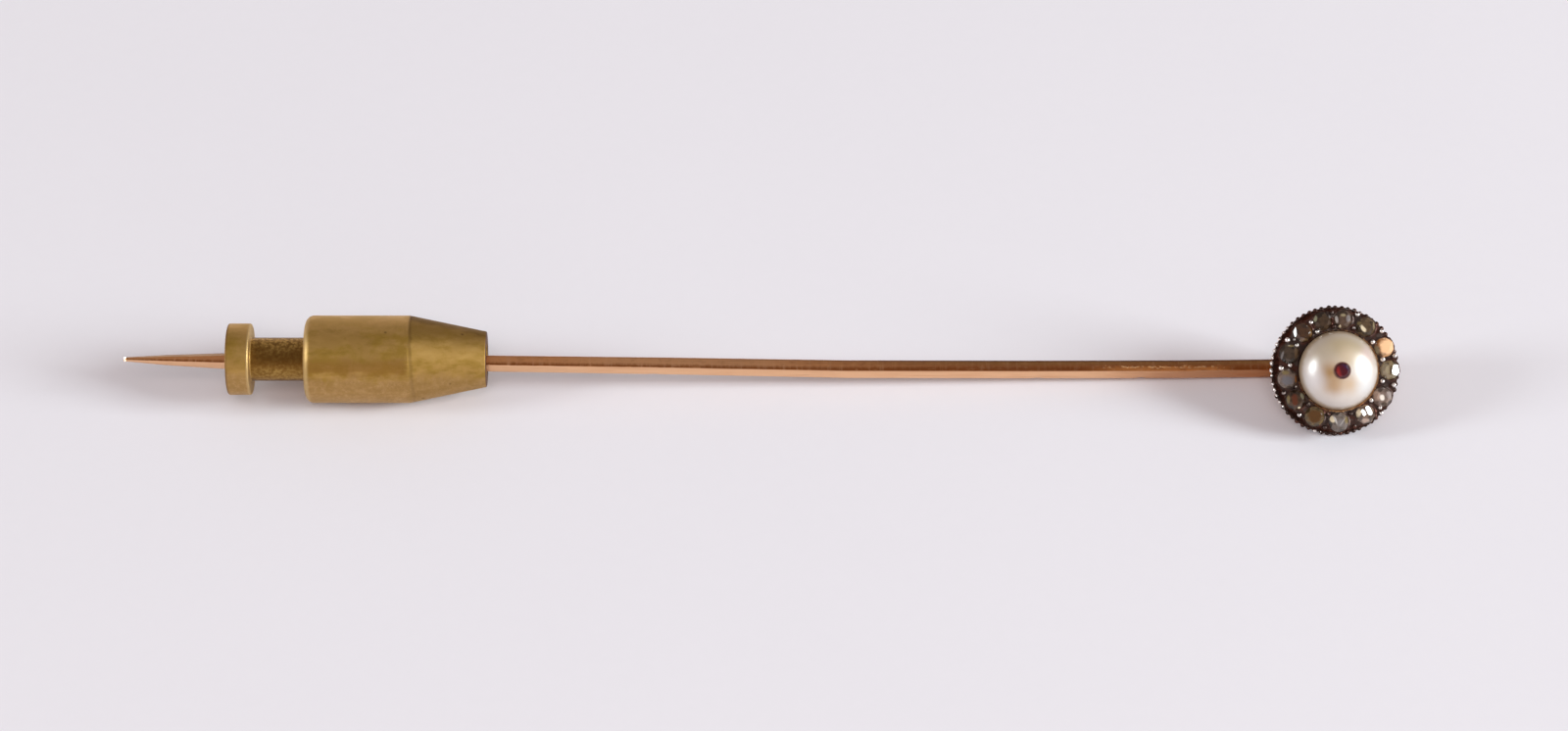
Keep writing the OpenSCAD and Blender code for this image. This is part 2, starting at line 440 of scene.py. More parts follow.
def add_piece(name, mesh, place, body, stands_for, finish, sharp=30):
    """Puts a drawn mesh in its place in the scene, on a body of the solid model."""
    mesh.transform(place)
    mesh.shade_smooth()
    mesh.set_sharp_from_angle(angle=math.radians(sharp))
    piece = bpy.data.objects.new(name, mesh)
    bpy.context.scene.collection.objects.link(piece)
    piece.data.materials.append(finish.material)
    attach(piece, body)
    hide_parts(*stands_for)
    print(f"{name}: {len(mesh.vertices)} points, {len(mesh.polygons)} faces")
    return piece


# %% Lathe and loft
DOUBLED = 1e-7


def mesh_from(name, points, faces):
    """A mesh from points and faces, with doubled points joined and all faces outward."""
    mesh = bpy.data.meshes.new(name)
    mesh.from_pydata([tuple(point) for point in points], [], faces)
    work = bmesh.new()
    work.from_mesh(mesh)
    bmesh.ops.remove_doubles(work, verts=work.verts, dist=DOUBLED)
    bmesh.ops.recalc_face_normals(work, faces=work.faces)
    work.to_mesh(mesh)
    work.free()
    return mesh


def grid_faces(rows, columns, close_rows=False):
    """Faces of a grid whose columns run round and meet, and whose rows may meet too."""
    faces = []
    for row in range(rows if close_rows else rows - 1):
        this, after = row * columns, (row + 1) % rows * columns
        for column in range(columns):
            beside = (column + 1) % columns
            faces.append((this + column, this + beside, after + beside, after + column))
    return faces


def lathe(name, outline, segments=160):
    """Swings an outline of (radius, height) points round the axis. Its two ends are joined."""
    angles = np.linspace(0, 2 * math.pi, segments, endpoint=False)
    points = [on_circle(radius, angle, z) for radius, z in outline for angle in angles]
    return mesh_from(name, points, grid_faces(len(outline), segments, close_rows=True))


def arc(centre, radius, start, stop, steps=8):
    """Points on an arc in the (radius, height) plane, from one angle to another, in degrees."""
    angles = np.radians(np.linspace(start, stop, steps))
    across, up = centre
    return [(across + radius * math.cos(angle), up + radius * math.sin(angle)) for angle in angles]


# %% [markdown]
# Rose gold
#
# The wire is old rose gold that has been drawn, rubbed and worn. The side below its near corner
# is painted a lighter peach and the side above it a darker copper. This is tarnish, and partly
# painted reflection: the lower side mirrors the paper and the upper side the dim room. The upper
# side is light in the middle of the wire and deep brown near the head, partly a painted shade and
# reflection of the head. It is red in a line just over the corner, which has been rubbed bright
# again for a few millimetres near the head. The top corner is dark, but at the point cloth has
# polished it, and there it is painted light, partly a painted highlight. A number stored on the
# mesh, called above, says how many millimetres over the near corner a point is, and all these
# bands are steps of it. Fine scratches run along the wire: they are a bump, stretched to twenty
# times its width.


# %% Where things are on the wire
def wire_map(gold):
    """Patterns of the gold, and parts of the wire by how many millimetres they are from the tip."""
    x = gold.axes(gold.place())[0]
    return SimpleNamespace(
        above=gold.mark("above"),
        patches=gold.step(gold.noise(gold.place((0.25, 1, 1)), 1.3, 4.0, 0.65), 0.42, 0.62),
        mottle=gold.noise(gold.place((0.7, 1, 1), (5, 0, 3)), 3.6, 3.0, 0.55),
        bars=gold.noise(gold.place((1.5, 0.15, 0.15), (2, 2, 8)), 3.0, 3.0, 0.6),
        rubbed=gold.step(gold.noise(gold.place((0.2, 0, 0), (4, 0, 0)), 1.0, 2.0), 0.46, 0.58),
        at_tip=gold.step(x, 0.19, 0.11),
        at_point=gold.step(x, 7, 5),
        in_middle=gold.step(abs(x - 30.5), 8, 3),
        toward_head=gold.step(x, 31, 50),
        at_head=gold.step(x, 52, 63),
        rubbed_strip=gold.step(x, 52, 55) * gold.step(x, 61, 59.5),
    )


# %% The coppery side of the wire
def copper_side(gold, wire):
    """The tone of all that is above the near corner, but for the top corner."""
    copper = gold.mix((1.0, 0.49, 0.21), (0.44, 0.165, 0.055), wire.toward_head * 0.78 + wire.patches * 0.12)
    uneven = (wire.mottle + wire.bars - 1) * 0.2
    redness = gold.step(wire.above + uneven - wire.toward_head * 0.08, 0.25, 0.04)
    return gold.coats(
        copper,
        ((1.0, 0.66, 0.38), wire.in_middle * 0.36),
        # Deep brown near the head: tarnish, and partly painted shade and reflection of the head
        ((0.38, 0.14, 0.045), wire.at_head * 0.52),
        ((0.45, 0.26, 0.09), gold.step(wire.above, 0.26, 0.42) * wire.toward_head * 0.5),
        ((0.36, 0.11, 0.025), redness * 0.9),
        ((1.0, 0.42, 0.13), redness * wire.rubbed_strip * 0.75),
        ((0.36, 0.12, 0.05), gold.step(wire.mottle, 0.50, 0.74) * (0.2 + wire.toward_head * 0.25)),
        ((1.0, 0.66, 0.38), gold.step(wire.bars, 0.52, 0.72) * (0.3 - wire.toward_head * 0.15)),
        ((1.0, 0.52, 0.24), gold.step(wire.mottle, 0.46, 0.30) * (0.35 - wire.toward_head * 0.2)),
    )


# %% Where cloth has polished the wire
def polished(gold, wire, normal, top_corner):
    """Turns the point's top corner to the table in front of it, and the very tip to a lamp."""
    front = ((RESTING @ turned(WIRE_TURN, "X")).to_3x3() @ Vector((0, -1, 0))).normalized()
    to_camera = (camera_place - FACING.translation).normalized()
    lamp = (to_camera + light_direction(LIGHTS["right"])).normalized()
    normal = gold.bend(normal, front, top_corner * wire.at_point)
    return gold.bend(normal, lamp, wire.at_tip)


# %% Rose gold
def rose_gold():
    gold = Finish("rose_gold", {"Metallic": 1.0}, FACING)
    wire = wire_map(gold)
    above, at_point = wire.above, wire.at_point
    top_corner = gold.step(above + at_point * 0.08, 0.49, 0.53)
    # The upper side is painted darker than the lower side, partly as painted reflection of the dim room; at
    # the point its top corner is painted light, partly a painted highlight
    upper = gold.coats(
        copper_side(gold, wire),
        ((0.11, 0.045, 0.025), top_corner * (1 - at_point) * (0.3 + wire.toward_head * 0.5)),
        ((1.0, 0.76, 0.52), top_corner * at_point * 0.8),
    )
    # The lower side is painted peach, partly painted reflection of the paper, and darker near the head,
    # partly painted shade of the head
    lower = gold.mix((0.86, 0.525, 0.30), (0.56, 0.24, 0.10), wire.at_head * 0.9 + wire.patches * 0.1)
    # Small bright dents follow the near corner, most of all along its rubbed strip
    specks = gold.step(gold.noise(gold.place((0.8, 1, 1), (3, 0, 0)), 6.5, 2.0, 0.5), 0.50, 0.60)
    beside = gold.step(abs(above - 0.22 + (wire.mottle - 0.5) * 0.25), 0.08, 0.02)
    dents = specks * beside * (wire.rubbed * wire.toward_head * 0.15 + wire.rubbed_strip * 0.85)
    # A light line along the near corner near the head: wear, and partly a painted highlight on the rounded
    # corner
    corner_wear_and_highlight = gold.step(abs(above), 0.035, 0.01) * wire.rubbed * wire.at_head
    streaks = gold.step(gold.noise(gold.place((0.02, 1, 1), (9, 2, 2)), 14, 2.0), 0.52, 0.70)
    tone = gold.coats(
        gold.mix(lower, upper, gold.step(above, -0.02, 0.025)),
        ((1.0, 0.62, 0.30), dents),
        ((1.0, 0.78, 0.55), corner_wear_and_highlight * 0.7),
        ((0.52, 0.24, 0.11), streaks * 0.4),
    )
    scratches = gold.noise(gold.place((0.05, 1, 1), (3, 1, 7)), 30, 3.0, 0.65)
    gold.set({"Base Color": tone, "Roughness": 0.25 + wire.patches * 0.08 + scratches * 0.12})
    lumps = gold.bump(gold.noise(gold.place((0.25, 1, 1)), 0.9, 2.0), 0.02 * MM, 0.5)
    dented = gold.bump(dents, 0.035 * MM, 1.0, lumps)
    scratched = gold.bump(scratches + wire.mottle * 0.6, 0.007 * MM, 0.7, dented)
    gold.set({"Normal": polished(gold, wire, scratched, top_corner)})
    return gold


rose_gold_finish = rose_gold()
print("rose gold is made of", len(rose_gold_finish.nodes), "nodes")

# %% [markdown]
# The wire and the back of the head
#
# The wire is square with one corner to the viewer, and it thins to a four sided point. Its
# corners have worn round, which is why each shows as a thin light line. It is drawn as a loft
# of soft cornered squares along the table of sections that the solid has, with more of them
# in between, and a few dents pressed into the corners. The gold cone at the back of the head is
# soldered to it, so both are one mesh.

# %% Sections and nicks of the wire
OVERRUN = 0.9 * MM
# Place as a share of the wire's length, side as a share of its thickness, sag as a share of the bow
SECTIONS = [
    (0, TIP_SIDE / WIRE_SIDE, 0),
    (POINT_LEN * 0.45 / STEM_LEN, 0.58, 0.12),
    (POINT_LEN / STEM_LEN, 0.87, 0.22),
    (0.30, 0.91, 0.36),
    (0.46, 0.96, 0.62),
    (0.60, 1, 1),
    (0.75, 1, 0.82),
    (0.88, 1, 0.55),
    (1, 1, 0),
    (1 + OVERRUN / STEM_LEN, 1, 0),
]
# Place as a share of the wire's length, number of the corner, depth and half length in millimetres
NICKS = [
    (0.785, 1, 0.035, 0.5), (0.800, 1, 0.025, 0.35), (0.832, 1, 0.045, 0.6), (0.846, 0, 0.03, 0.4),
    (0.858, 1, 0.03, 0.35), (0.872, 1, 0.035, 0.5), (0.760, 0, 0.02, 0.5), (0.56, 1, 0.02, 0.4),
    (0.44, 0, 0.015, 0.5), (0.66, 1, 0.018, 0.6),
]
section_places, section_sides, section_sags = zip(*SECTIONS)


def section(place):
    """The wire's side and its sag at a place along it."""
    side = WIRE_SIDE * np.interp(place, section_places, section_sides)
    return side, BOW * np.interp(place, section_places, section_sags)


def nicked(place, corner, side):
    """How far out a corner still reaches, where 1 is whole and less is a nick."""
    reaches = 1.0
    for nick_place, nick_corner, depth, length in NICKS:
        off = (place - nick_place) * STEM_LEN / (length * MM)
        if corner == nick_corner and abs(off) < 1:
            reaches -= depth * MM / side * 2 * (1 - off * off) ** 2
    return reaches


print("the wire has", len(SECTIONS), "sections and", len(NICKS), "nicks")

# %% Draw the wire
WIRE_RINGS = 420
TIP_ROUND = 0.08 * MM / STEM_LEN
TIP_RING_ANGLES = (10, 25, 40, 55, 70)
CORNER_SHARE = 0.13
CORNER_STEPS = 4


def soft_square(side):
    """Points round a square with rounded corners, corner by corner from the viewer's side."""
    round_r = CORNER_SHARE * side
    points = []
    for corner in range(4):
        middle = math.radians(90 * corner - 135)
        centre = Vector((math.cos(middle), math.sin(middle))) * (side / 2 - round_r) * math.sqrt(2)
        for step in range(CORNER_STEPS):
            angle = middle + math.radians(90) * (step / (CORNER_STEPS - 1) - 0.5)
            points.append((corner, centre + Vector((math.cos(angle), math.sin(angle))) * round_r))
    return points


def wire_loft():
    """Points and faces of the whole wire, closed at both ends."""
    points, per_ring = [], 4 * CORNER_STEPS
    tip_places = [TIP_ROUND * (1 - math.cos(math.radians(angle))) for angle in TIP_RING_ANGLES]
    places = [*tip_places, *np.linspace(TIP_ROUND, section_places[-1], WIRE_RINGS - len(tip_places))]
    for place in places:
        side, sag = section(place)
        side *= math.sqrt(1 - (1 - min(1, place / TIP_ROUND)) ** 2)
        spine = turned(FACE_TILT, "X") @ Vector((STEM_LEN * place, -sag, 0))
        for corner, (across, up) in soft_square(side):
            reaches = nicked(place, corner, side)
            offset = turned(WIRE_TURN, "X") @ Vector((0, across * reaches, up * reaches))
            points.append(spine + offset)
    faces = grid_faces(WIRE_RINGS, per_ring)
    faces.append(tuple(range(per_ring)))
    faces.append(tuple(range((WIRE_RINGS - 1) * per_ring, WIRE_RINGS * per_ring)))
    return points, faces


stem_mesh = mesh_from("stem", *wire_loft())
print("the wire is drawn with", len(stem_mesh.vertices), "points")

# %% Turn the gallery and join it to the wire
# Its foot bites a little into the wire. The foot and the wide edge are both rounded
GALLERY_FOOT_R = 0.8 * MM
GALLERY_FOOT_ROUND = 0.06 * MM
GALLERY_BITE = 0.1 * MM
GALLERY_R = 3.05 * MM
GALLERY_EDGE_ROUND = 0.08 * MM
GALLERY_EDGE_INSET = 0.09 * MM
GALLERY_WALL = 0.4 * MM
GALLERY_FLOOR = 0.35 * MM
CONE_FACING = -42
foot_n = WIRE_SIDE / 2 - rim_n - GALLERY_BITE
gallery_h = -PLATE_H - SET_GAP - foot_n
floor_inner_r = GALLERY_FOOT_R + (GALLERY_R - GALLERY_FOOT_R) * GALLERY_FLOOR / gallery_h - GALLERY_WALL
foot_middle = (GALLERY_FOOT_R - GALLERY_FOOT_ROUND, GALLERY_FOOT_ROUND)
edge_middle = (GALLERY_R - GALLERY_EDGE_INSET, gallery_h - GALLERY_EDGE_ROUND)
gallery_outline = (
    [(0, 0), (GALLERY_FOOT_R - GALLERY_FOOT_ROUND, 0)]
    + arc(foot_middle, GALLERY_FOOT_ROUND, -90, CONE_FACING, steps=4)
    + arc(edge_middle, GALLERY_EDGE_ROUND, CONE_FACING, 90)
    + [(GALLERY_R - GALLERY_WALL, gallery_h), (floor_inner_r, GALLERY_FLOOR), (0, GALLERY_FLOOR)]
)
gallery_mesh = lathe("gallery", gallery_outline)
gallery_mesh.transform(RESTING.inverted() @ ON_HEAD @ moved(y=HEAD_DROP, z=foot_n))
joined = bmesh.new()
joined.from_mesh(stem_mesh)
joined.from_mesh(gallery_mesh)
joined.to_mesh(stem_mesh)
joined.free()
print("the gallery is", round(gallery_h / MM, 2), "mm deep")

# %% Mark how far above its near corner each point of the wire is, as on a wire of full thickness
GALLERY_MARK = -0.1
above_marks = []
for vertex in stem_mesh.vertices:
    side, sag = section(vertex.co.x / STEM_LEN)
    offset = turned(-FACE_TILT, "X") @ vertex.co - Vector((vertex.co.x, -sag, 0))
    corner_y = -side / math.sqrt(2) * math.sin(WIRE_TURN)
    above = (offset.y - corner_y) / side * WIRE_SIDE / MM
    above_marks.append(above if offset.yz.length < WIRE_SIDE else GALLERY_MARK)
mark_points(stem_mesh, "above", above_marks)
add_piece("pin_stem", stem_mesh, RESTING, "pin", ["stem"], rose_gold_finish)

# %% [markdown]
# Old brass
#
# The clutch was turned on a lathe and has since been handled for years. It is a satin, olive
# tinged gold, cloudy with thin tarnish and speckled with small dark pits, and the turning marks
# still run round it. A brown belt runs along just under the middle of the barrel, and below it
# the metal is a mottled beige, with the rings of a thumb in it. Both bands are partly tarnish and
# handling, and partly painted reflection of the room and the paper. Noise that is stretched along
# the axis gives the clouds, rings of very fine noise give the turning marks, and scattered cells
# give the pits. Places along the clutch are told from its own edges, so the wear follows them.


# %% Where things are on the clutch
def clutch_map(brass):
    """Patterns of the brass, and places past each edge of the clutch in millimetres."""
    here = brass.place()
    _, up, along = brass.axes(here)
    past_neck = along - barrel_z / MM
    past_shoulder = along - shoulder_z / MM
    past_knob = along - KNOB_T / MM
    upward = tuple(ON_CLUTCH.to_3x3().col[1].normalized())
    return SimpleNamespace(
        here=here,
        up=up,
        along=along,
        past_knob=past_knob,
        past_neck=past_neck,
        past_shoulder=past_shoulder,
        neck=brass.step(past_knob, 0.01, 0.07) * brass.step(past_neck, 0.02, -0.04),
        cone=brass.step(past_shoulder, -0.04, 0.11),
        faces_up=brass.lean(brass.node("TexCoord", output="Normal"), upward),
        clouds=brass.noise(here, 0.7, 5.0, 0.62, 0.6),
        mottle=brass.noise(brass.place((1, 1, 0.45), (2, 5, 1)), 2.2, 4.0, 0.5),
        grain=brass.noise(here, 7.0, 4.0, 0.7),
    )


# %% Brass of the knob and the barrel
def barrel_tone(brass, clutch, tarnish):
    """Olive gold with a brown belt and a beige lower part: handling and tarnish, and partly painted
    reflection.
    """
    up, mottle = clutch.up, clutch.mottle
    # The belt and the beige below it are partly painted reflection of the room and the paper
    belt_tarnish_and_reflection = brass.step(abs(up + 0.45 + (mottle - 0.5)), 0.60, 0.15)
    belt_tarnish_and_reflection = belt_tarnish_and_reflection * brass.step(clutch.past_shoulder, 0.11, -0.29) * brass.step(clutch.past_knob, 0.04, 3.24)
    handled_and_reflection = brass.step(up + (clutch.clouds - 0.5) * 1.6, -0.7, -1.35)
    settings = {"wave_type": "RINGS", "rings_direction": "Z"}
    values = {"Vector": brass.place((1, 1, 1), (1.5, 1.2, -8.2)), "Scale": 1.5, "Distortion": 3.0}
    values.update({"Detail": 3.0, "Detail Scale": 1.2})
    rings = brass.node("TexWave", settings, values, "Fac") * brass.step(clutch.grain, 0.35, 0.6)
    wisps = brass.noise(brass.place((1, 1, 1.3), (7, 1, 2)), 3.2, 4.0, 0.6, 0.4)
    return brass.coats(
        brass.mix((0.54, 0.335, 0.10), (0.43, 0.265, 0.055), tarnish),
        ((0.27, 0.155, 0.03), brass.step(mottle, 0.52, 0.70) * 0.3),
        ((0.68, 0.44, 0.15), brass.step(mottle, 0.48, 0.32) * 0.3),
        ((0.34, 0.17, 0.04), belt_tarnish_and_reflection * 0.55),
        ((0.44, 0.265, 0.10), handled_and_reflection * 0.75),
        ((0.38, 0.22, 0.08), handled_and_reflection * rings * 0.35),
        ((0.68, 0.45, 0.21), handled_and_reflection * brass.step(wisps, 0.40, 0.74) * 0.38),
    )


# %% Brass of the cone, and what age and rubbing have done to the edges
CONE_SLOPE = (BARREL_R - NOSE_R) / NOSE_LEN


def aged(brass, clutch, tone):
    """Streaks of brown on the cone and its shoulder, pits, a paler top and rubbed or dirty edges."""
    up, mottle, cone = clutch.up, clutch.mottle, clutch.cone
    below_top = BARREL_R / MM - clutch.past_shoulder * CONE_SLOPE - up
    top_of_cone = cone * brass.step(below_top - (mottle - 0.5) * 0.5, 0.427, 0.127)
    shoulder = brass.step(abs(clutch.past_shoulder - 0.04 + up * 0.05 - mottle * 0.25), 0.14, 0.03)
    pits = brass.step(brass.cells(clutch.here, 0.75), 0.035, 0.09, 1, 0)
    brown_share = top_of_cone * 0.5 + shoulder * brass.step(up, -1.2, 1.2, 0.25, 0.45) + pits * 0.7
    # The room is darker overhead than the real one was, so the top is given a paler metal
    pale = brass.step(clutch.faces_up + (clutch.grain - 0.5) * 0.3, 0.45, 0.9) * (1 - cone)
    barrel_edge = brass.step(clutch.past_neck, 0.38, 0.18) * brass.step(clutch.past_neck, -0.04, 0.02)
    knob_edge = brass.step(clutch.past_knob, -0.16, -0.08) * brass.step(clutch.past_knob, 0.04, -0.01)
    return brass.coats(
        tone,
        ((0.26, 0.15, 0.03), cone * brass.step(up + (mottle - 0.5) * 0.6, 0.6, 1.5) * 0.6),
        ((0.12, 0.055, 0.014), brown_share),
        ((0.30, 0.19, 0.06), cone * 0.2),
        ((0.90, 0.61, 0.25), pale * 0.42),
        ((0.64, 0.47, 0.23), (barrel_edge + knob_edge) * 0.6),
        ((0.20, 0.10, 0.04), brass.step(clutch.along, 0.16, 0.04) * 0.7),
    )


# %% Brass of the neck
def neck_tone(brass, clutch):
    """The neck is dark brown, darkest across its middle and along its top and bottom edges, with gold
    speckles above and below its middle, more on its upper side.
    """
    faces_up = clutch.faces_up
    speckle = brass.step(brass.noise(clutch.here, 5.5, 3.0, 0.6), 0.36, 0.68)
    off_middle = brass.step(abs(faces_up + 0.05) + (clutch.clouds - 0.5) * 1.2, 0.2, 0.75)
    gold_share = (speckle * 0.8 + 0.2) * (0.15 + off_middle * (0.60 + faces_up * 0.38))
    return brass.coats(
        (0.20, 0.095, 0.018),
        ((0.72, 0.47, 0.14), gold_share),
        ((0.16, 0.08, 0.02), brass.step(abs(faces_up), 0.93, 0.99) * 0.8),
    )


# %% Clutch brass
def clutch_brass():
    brass = Finish("clutch_brass", {"Metallic": 1.0}, ON_CLUTCH)
    clutch = clutch_map(brass)
    tarnish = brass.step(clutch.clouds * 0.6 + clutch.mottle * 0.4, 0.42, 0.60)
    # The end face of the nose is painted nearly black: a painted shade
    nose_end_shade = brass.step(clutch.along - nose_z / MM, -0.04, -0.01)
    tone = brass.coats(
        aged(brass, clutch, barrel_tone(brass, clutch, tarnish)),
        (neck_tone(brass, clutch), clutch.neck),
        ((0.10, 0.05, 0.045), nose_end_shade * 0.85),
    )
    roughness = 0.46 + tarnish * 0.08 + clutch.grain * 0.10 - clutch.neck * 0.12 + clutch.cone * 0.06
    brass.set({"Base Color": tone, "Roughness": roughness})
    turning = brass.noise(brass.place((0.1, 0.1, 8)), 4.0, 3.0, 0.7)
    rough = brass.bump(clutch.grain, 0.014 * MM, 0.6)
    brass.set({"Normal": brass.bump(turning, 0.012 * MM, 0.4, rough)})
    return brass


brass_finish = clutch_brass()
print("clutch brass is made of", len(brass_finish.nodes), "nodes")

# %% [markdown]
# The clutch
#
# Two turned parts: a knob on a thin neck, and the barrel that the neck slides in. The outlines
# are the same as the solids', with every sharp corner broken by a small round, because a round
# edge catches the light as a bright line and a sharp one can't.

# %% Turn the knob with its neck
KNOB_EDGE = 0.10 * MM
HOLE_BREAK = 0.05 * MM
NECK_FOOT_ROUND = 0.05 * MM
# Rings along the straight part, so that no face of the mesh is very long
NECK_RINGS = (KNOB_T + 0.6 * MM, KNOB_T + 1.5 * MM)
neck_end_z = barrel_z + NECK_INSIDE
knob_outline = (
    [(HOLE_R, HOLE_BREAK), (HOLE_R + HOLE_BREAK, 0)]
    + arc((KNOB_R - KNOB_EDGE, KNOB_EDGE), KNOB_EDGE, -90, 0)
    + arc((KNOB_R - KNOB_EDGE, KNOB_T - KNOB_EDGE), KNOB_EDGE, 0, 90)
    + arc((NECK_R + NECK_FOOT_ROUND, KNOB_T + NECK_FOOT_ROUND), NECK_FOOT_ROUND, -90, -180, steps=5)
    + [(NECK_R, z) for z in (*NECK_RINGS, barrel_z, neck_end_z)]
    + [(HOLE_R, neck_end_z)]
)
knob_mesh = lathe("knob", knob_outline)
add_piece("clutch_knob", knob_mesh, ON_CLUTCH, "plunger", ["clutch_plunger"], brass_finish)

# %% Turn the barrel
BARREL_ROUND = 0.46 * MM
BORE_BREAK = 0.06 * MM
SHOULDER_ROUND = 0.3 * MM
SHOULDER_SHIFT = 0.04 * MM
NOSE_ROUND = 0.07 * MM
BARREL_RINGS = (barrel_z + 1.8 * MM, barrel_z + 3.6 * MM)
cone_slope = math.degrees(math.atan2(BARREL_R - NOSE_R, NOSE_LEN))
barrel_outline = (
    [(NECK_BORE_R, barrel_z + BORE_BREAK), (NECK_BORE_R + BORE_BREAK, barrel_z)]
    + arc((BARREL_R - BARREL_ROUND, barrel_z + BARREL_ROUND), BARREL_ROUND, -90, 0, steps=14)
    + [(BARREL_R, z) for z in BARREL_RINGS]
    + arc((BARREL_R - SHOULDER_ROUND, shoulder_z - SHOULDER_SHIFT), SHOULDER_ROUND, 0, cone_slope, steps=5)
    + [(NOSE_R, nose_z - NOSE_ROUND)]
    + arc((NOSE_R - NOSE_ROUND, nose_z - NOSE_ROUND), NOSE_ROUND, 20, 90, steps=6)
    + [(HOLE_R + HOLE_BREAK, nose_z), (HOLE_R, nose_z - HOLE_BREAK)]
    + [(HOLE_R, barrel_z + NECK_BORE_LEN), (NECK_BORE_R, barrel_z + NECK_BORE_LEN)]
)
barrel_mesh = lathe("barrel", barrel_outline)
add_piece("clutch_shell", barrel_mesh, ON_CLUTCH, "clutch", ["clutch_barrel"], brass_finish)

# %% [markdown]
# Dark silver
#
# The setting is silver that has gone nearly black with a trace of reddish brown, which old
# jewels keep in every hollow. Only what is touched stays light: the grains, and the beads on
# one side of the rim. A number stored on each point of the mesh, called worn, says how bare the
# metal is, and the finish turns it into colour and shine. The outside wall is the darkest, and
# a thread of gold shows round the foot of the pearl.


# %% Dark silver
def dark_silver():
    # The tint keeps grazing light from whitening the tarnish
    silver = Finish("dark_silver", {"Metallic": 1.0, "Specular Tint": (0.55, 0.40, 0.36)}, ON_HEAD)
    here = silver.place()
    x, y, z = silver.axes(here)
    past_pearl = distance(x, y) - PEARL_R / MM
    past_edge = distance(x, y) - SETTING_TOP_R / MM
    above_face = z - SETTING_H / MM
    worn = silver.mark("worn")
    crust = silver.noise(here, 5.0, 4.0, 0.65)
    red = silver.step(silver.noise(here, 2.2, 3.0), 0.42, 0.62)
    rubbed = silver.step(silver.noise(silver.place((1, 1, 1), (4, 2, 0)), 1.9, 2.0), 0.54, 0.64)
    bare = silver.step(worn + (crust - 0.5) * 0.5, 0.35, 0.75)
    gilt = silver.step(past_pearl + (crust - 0.5) * 0.3, 0.14, 0.06)
    gilt = gilt * silver.step(crust + x * 0.05 - y * 0.05, 0.38, 0.56)
    sheet = silver.step(worn, 0.18, 0.15)
    outside = silver.step(past_edge, -0.24, -0.14) * sheet
    wall = silver.step(above_face, -0.06, -0.15) * silver.step(z, 0.15, 0.3) * sheet
    tone = silver.coats(
        silver.mix((0.078, 0.054, 0.048), (0.11, 0.048, 0.036), red),
        ((0.155, 0.12, 0.105), rubbed * silver.step(past_edge, -0.18, -0.38) * 0.6),
        ((0.95, 0.90, 0.86), bare),
        ((0.66, 0.38, 0.18), gilt * 0.8),
        ((0.048, 0.027, 0.021), outside * silver.step(crust, 0.68, 0.48) * 0.85),
        ((0.030, 0.020, 0.018), wall),
    )
    silver.set({"Base Color": tone, "Roughness": 0.42 - bare * 0.12 + crust * 0.12})
    silver.set({"Normal": silver.bump(crust, 0.014 * MM, 0.6)})
    return silver


silver_finish = dark_silver()
print("dark silver is made of", len(silver_finish.nodes), "nodes")

# %% [markdown]
# The face of the setting
#
# One sheet of silver makes the whole face: it comes up round the pearl as a thin wall, spreads
# out between the stones with a round seat under each, turns over the edge and runs down the
# outside in fine flutes to the rim. As a mesh it is a round grid. Each row of the grid is a
# place along that outline, and at each point the seats are pressed down and the flutes pressed
# in. The stones' own list comes first, because both the seats and the stones need it.

# %% The thirteen stones
# Place round the ring in degrees clockwise from the top, width, and turn about its own middle
STONES = [
    (5, 1.00, 28), (32, 1.06, 33), (63, 1.06, 36), (89, 1.06, 33), (120.5, 1.06, 30),
    (147.5, 1.06, 34), (179, 1.06, 38), (207, 1.06, 29), (235, 1.08, 36), (260.5, 1.06, 31),
    (288.5, 1.08, 27), (316.5, 1.06, 35), (342, 1.00, 32),
]


def ring_angle(clockwise):
    """Degrees clockwise from the top, as an angle in the head's drawing."""
    return math.radians(90 - clockwise)


stone_middles = [Vector(on_circle(RING_R, ring_angle(clockwise))).xy for clockwise, _, _ in STONES]
print("the ring holds", len(stone_middles), "stones")

# %% The sheet between the stones
# Each seat is a step down, with a lip of pushed up metal round it; both in millimetres from the stone
LIP_START = -0.05
LIP_END = 0.09
SEAT_STEP = 0.03
LIP_RISE = 0.06 * MM
LIP_FADE = 0.14 * MM
# The outer edge is drawn in between two stones
EDGE_WAVE = 0.17 * MM
HALF_PITCH = 13.5


def edge_radius(angle):
    """Radius of the face's outer edge: full beside each stone, drawn in between two."""
    clockwise = (90 - math.degrees(angle)) % 360
    nearest = min(abs((clockwise - place + 180) % 360 - 180) for place, _, _ in STONES)
    return SETTING_TOP_R - EDGE_WAVE * (0.5 - 0.5 * math.cos(math.pi * min(1, nearest / HALF_PITCH)))


def face_height(x, y, z):
    """Height of the sheet between the stones: pressed down in each seat, pushed up round it."""
    here = Vector((x, y))
    for middle, (_, width, spin) in zip(stone_middles, STONES):
        off = (here - middle).length / MM - width / 2
        if off < LIP_START:
            return z - SEAT_DEPTH * min(1, (LIP_START - off) / SEAT_STEP)
        if off < LIP_END:
            turn = math.atan2(y - middle.y, x - middle.x)
            pushed = 0.6 + 0.4 * math.sin(3 * turn + spin) * math.sin(5 * turn - spin)
            pushed *= min(1, (SETTING_TOP_R - math.hypot(x, y)) / LIP_FADE)
            z += LIP_RISE * pushed * math.sin(math.pi * (off - LIP_START) / (LIP_END - LIP_START))
    return z


narrowest = min(edge_radius(math.radians(degrees)) for degrees in range(360))
print("between two stones the edge is drawn in to", round(narrowest / MM, 2), "mm")

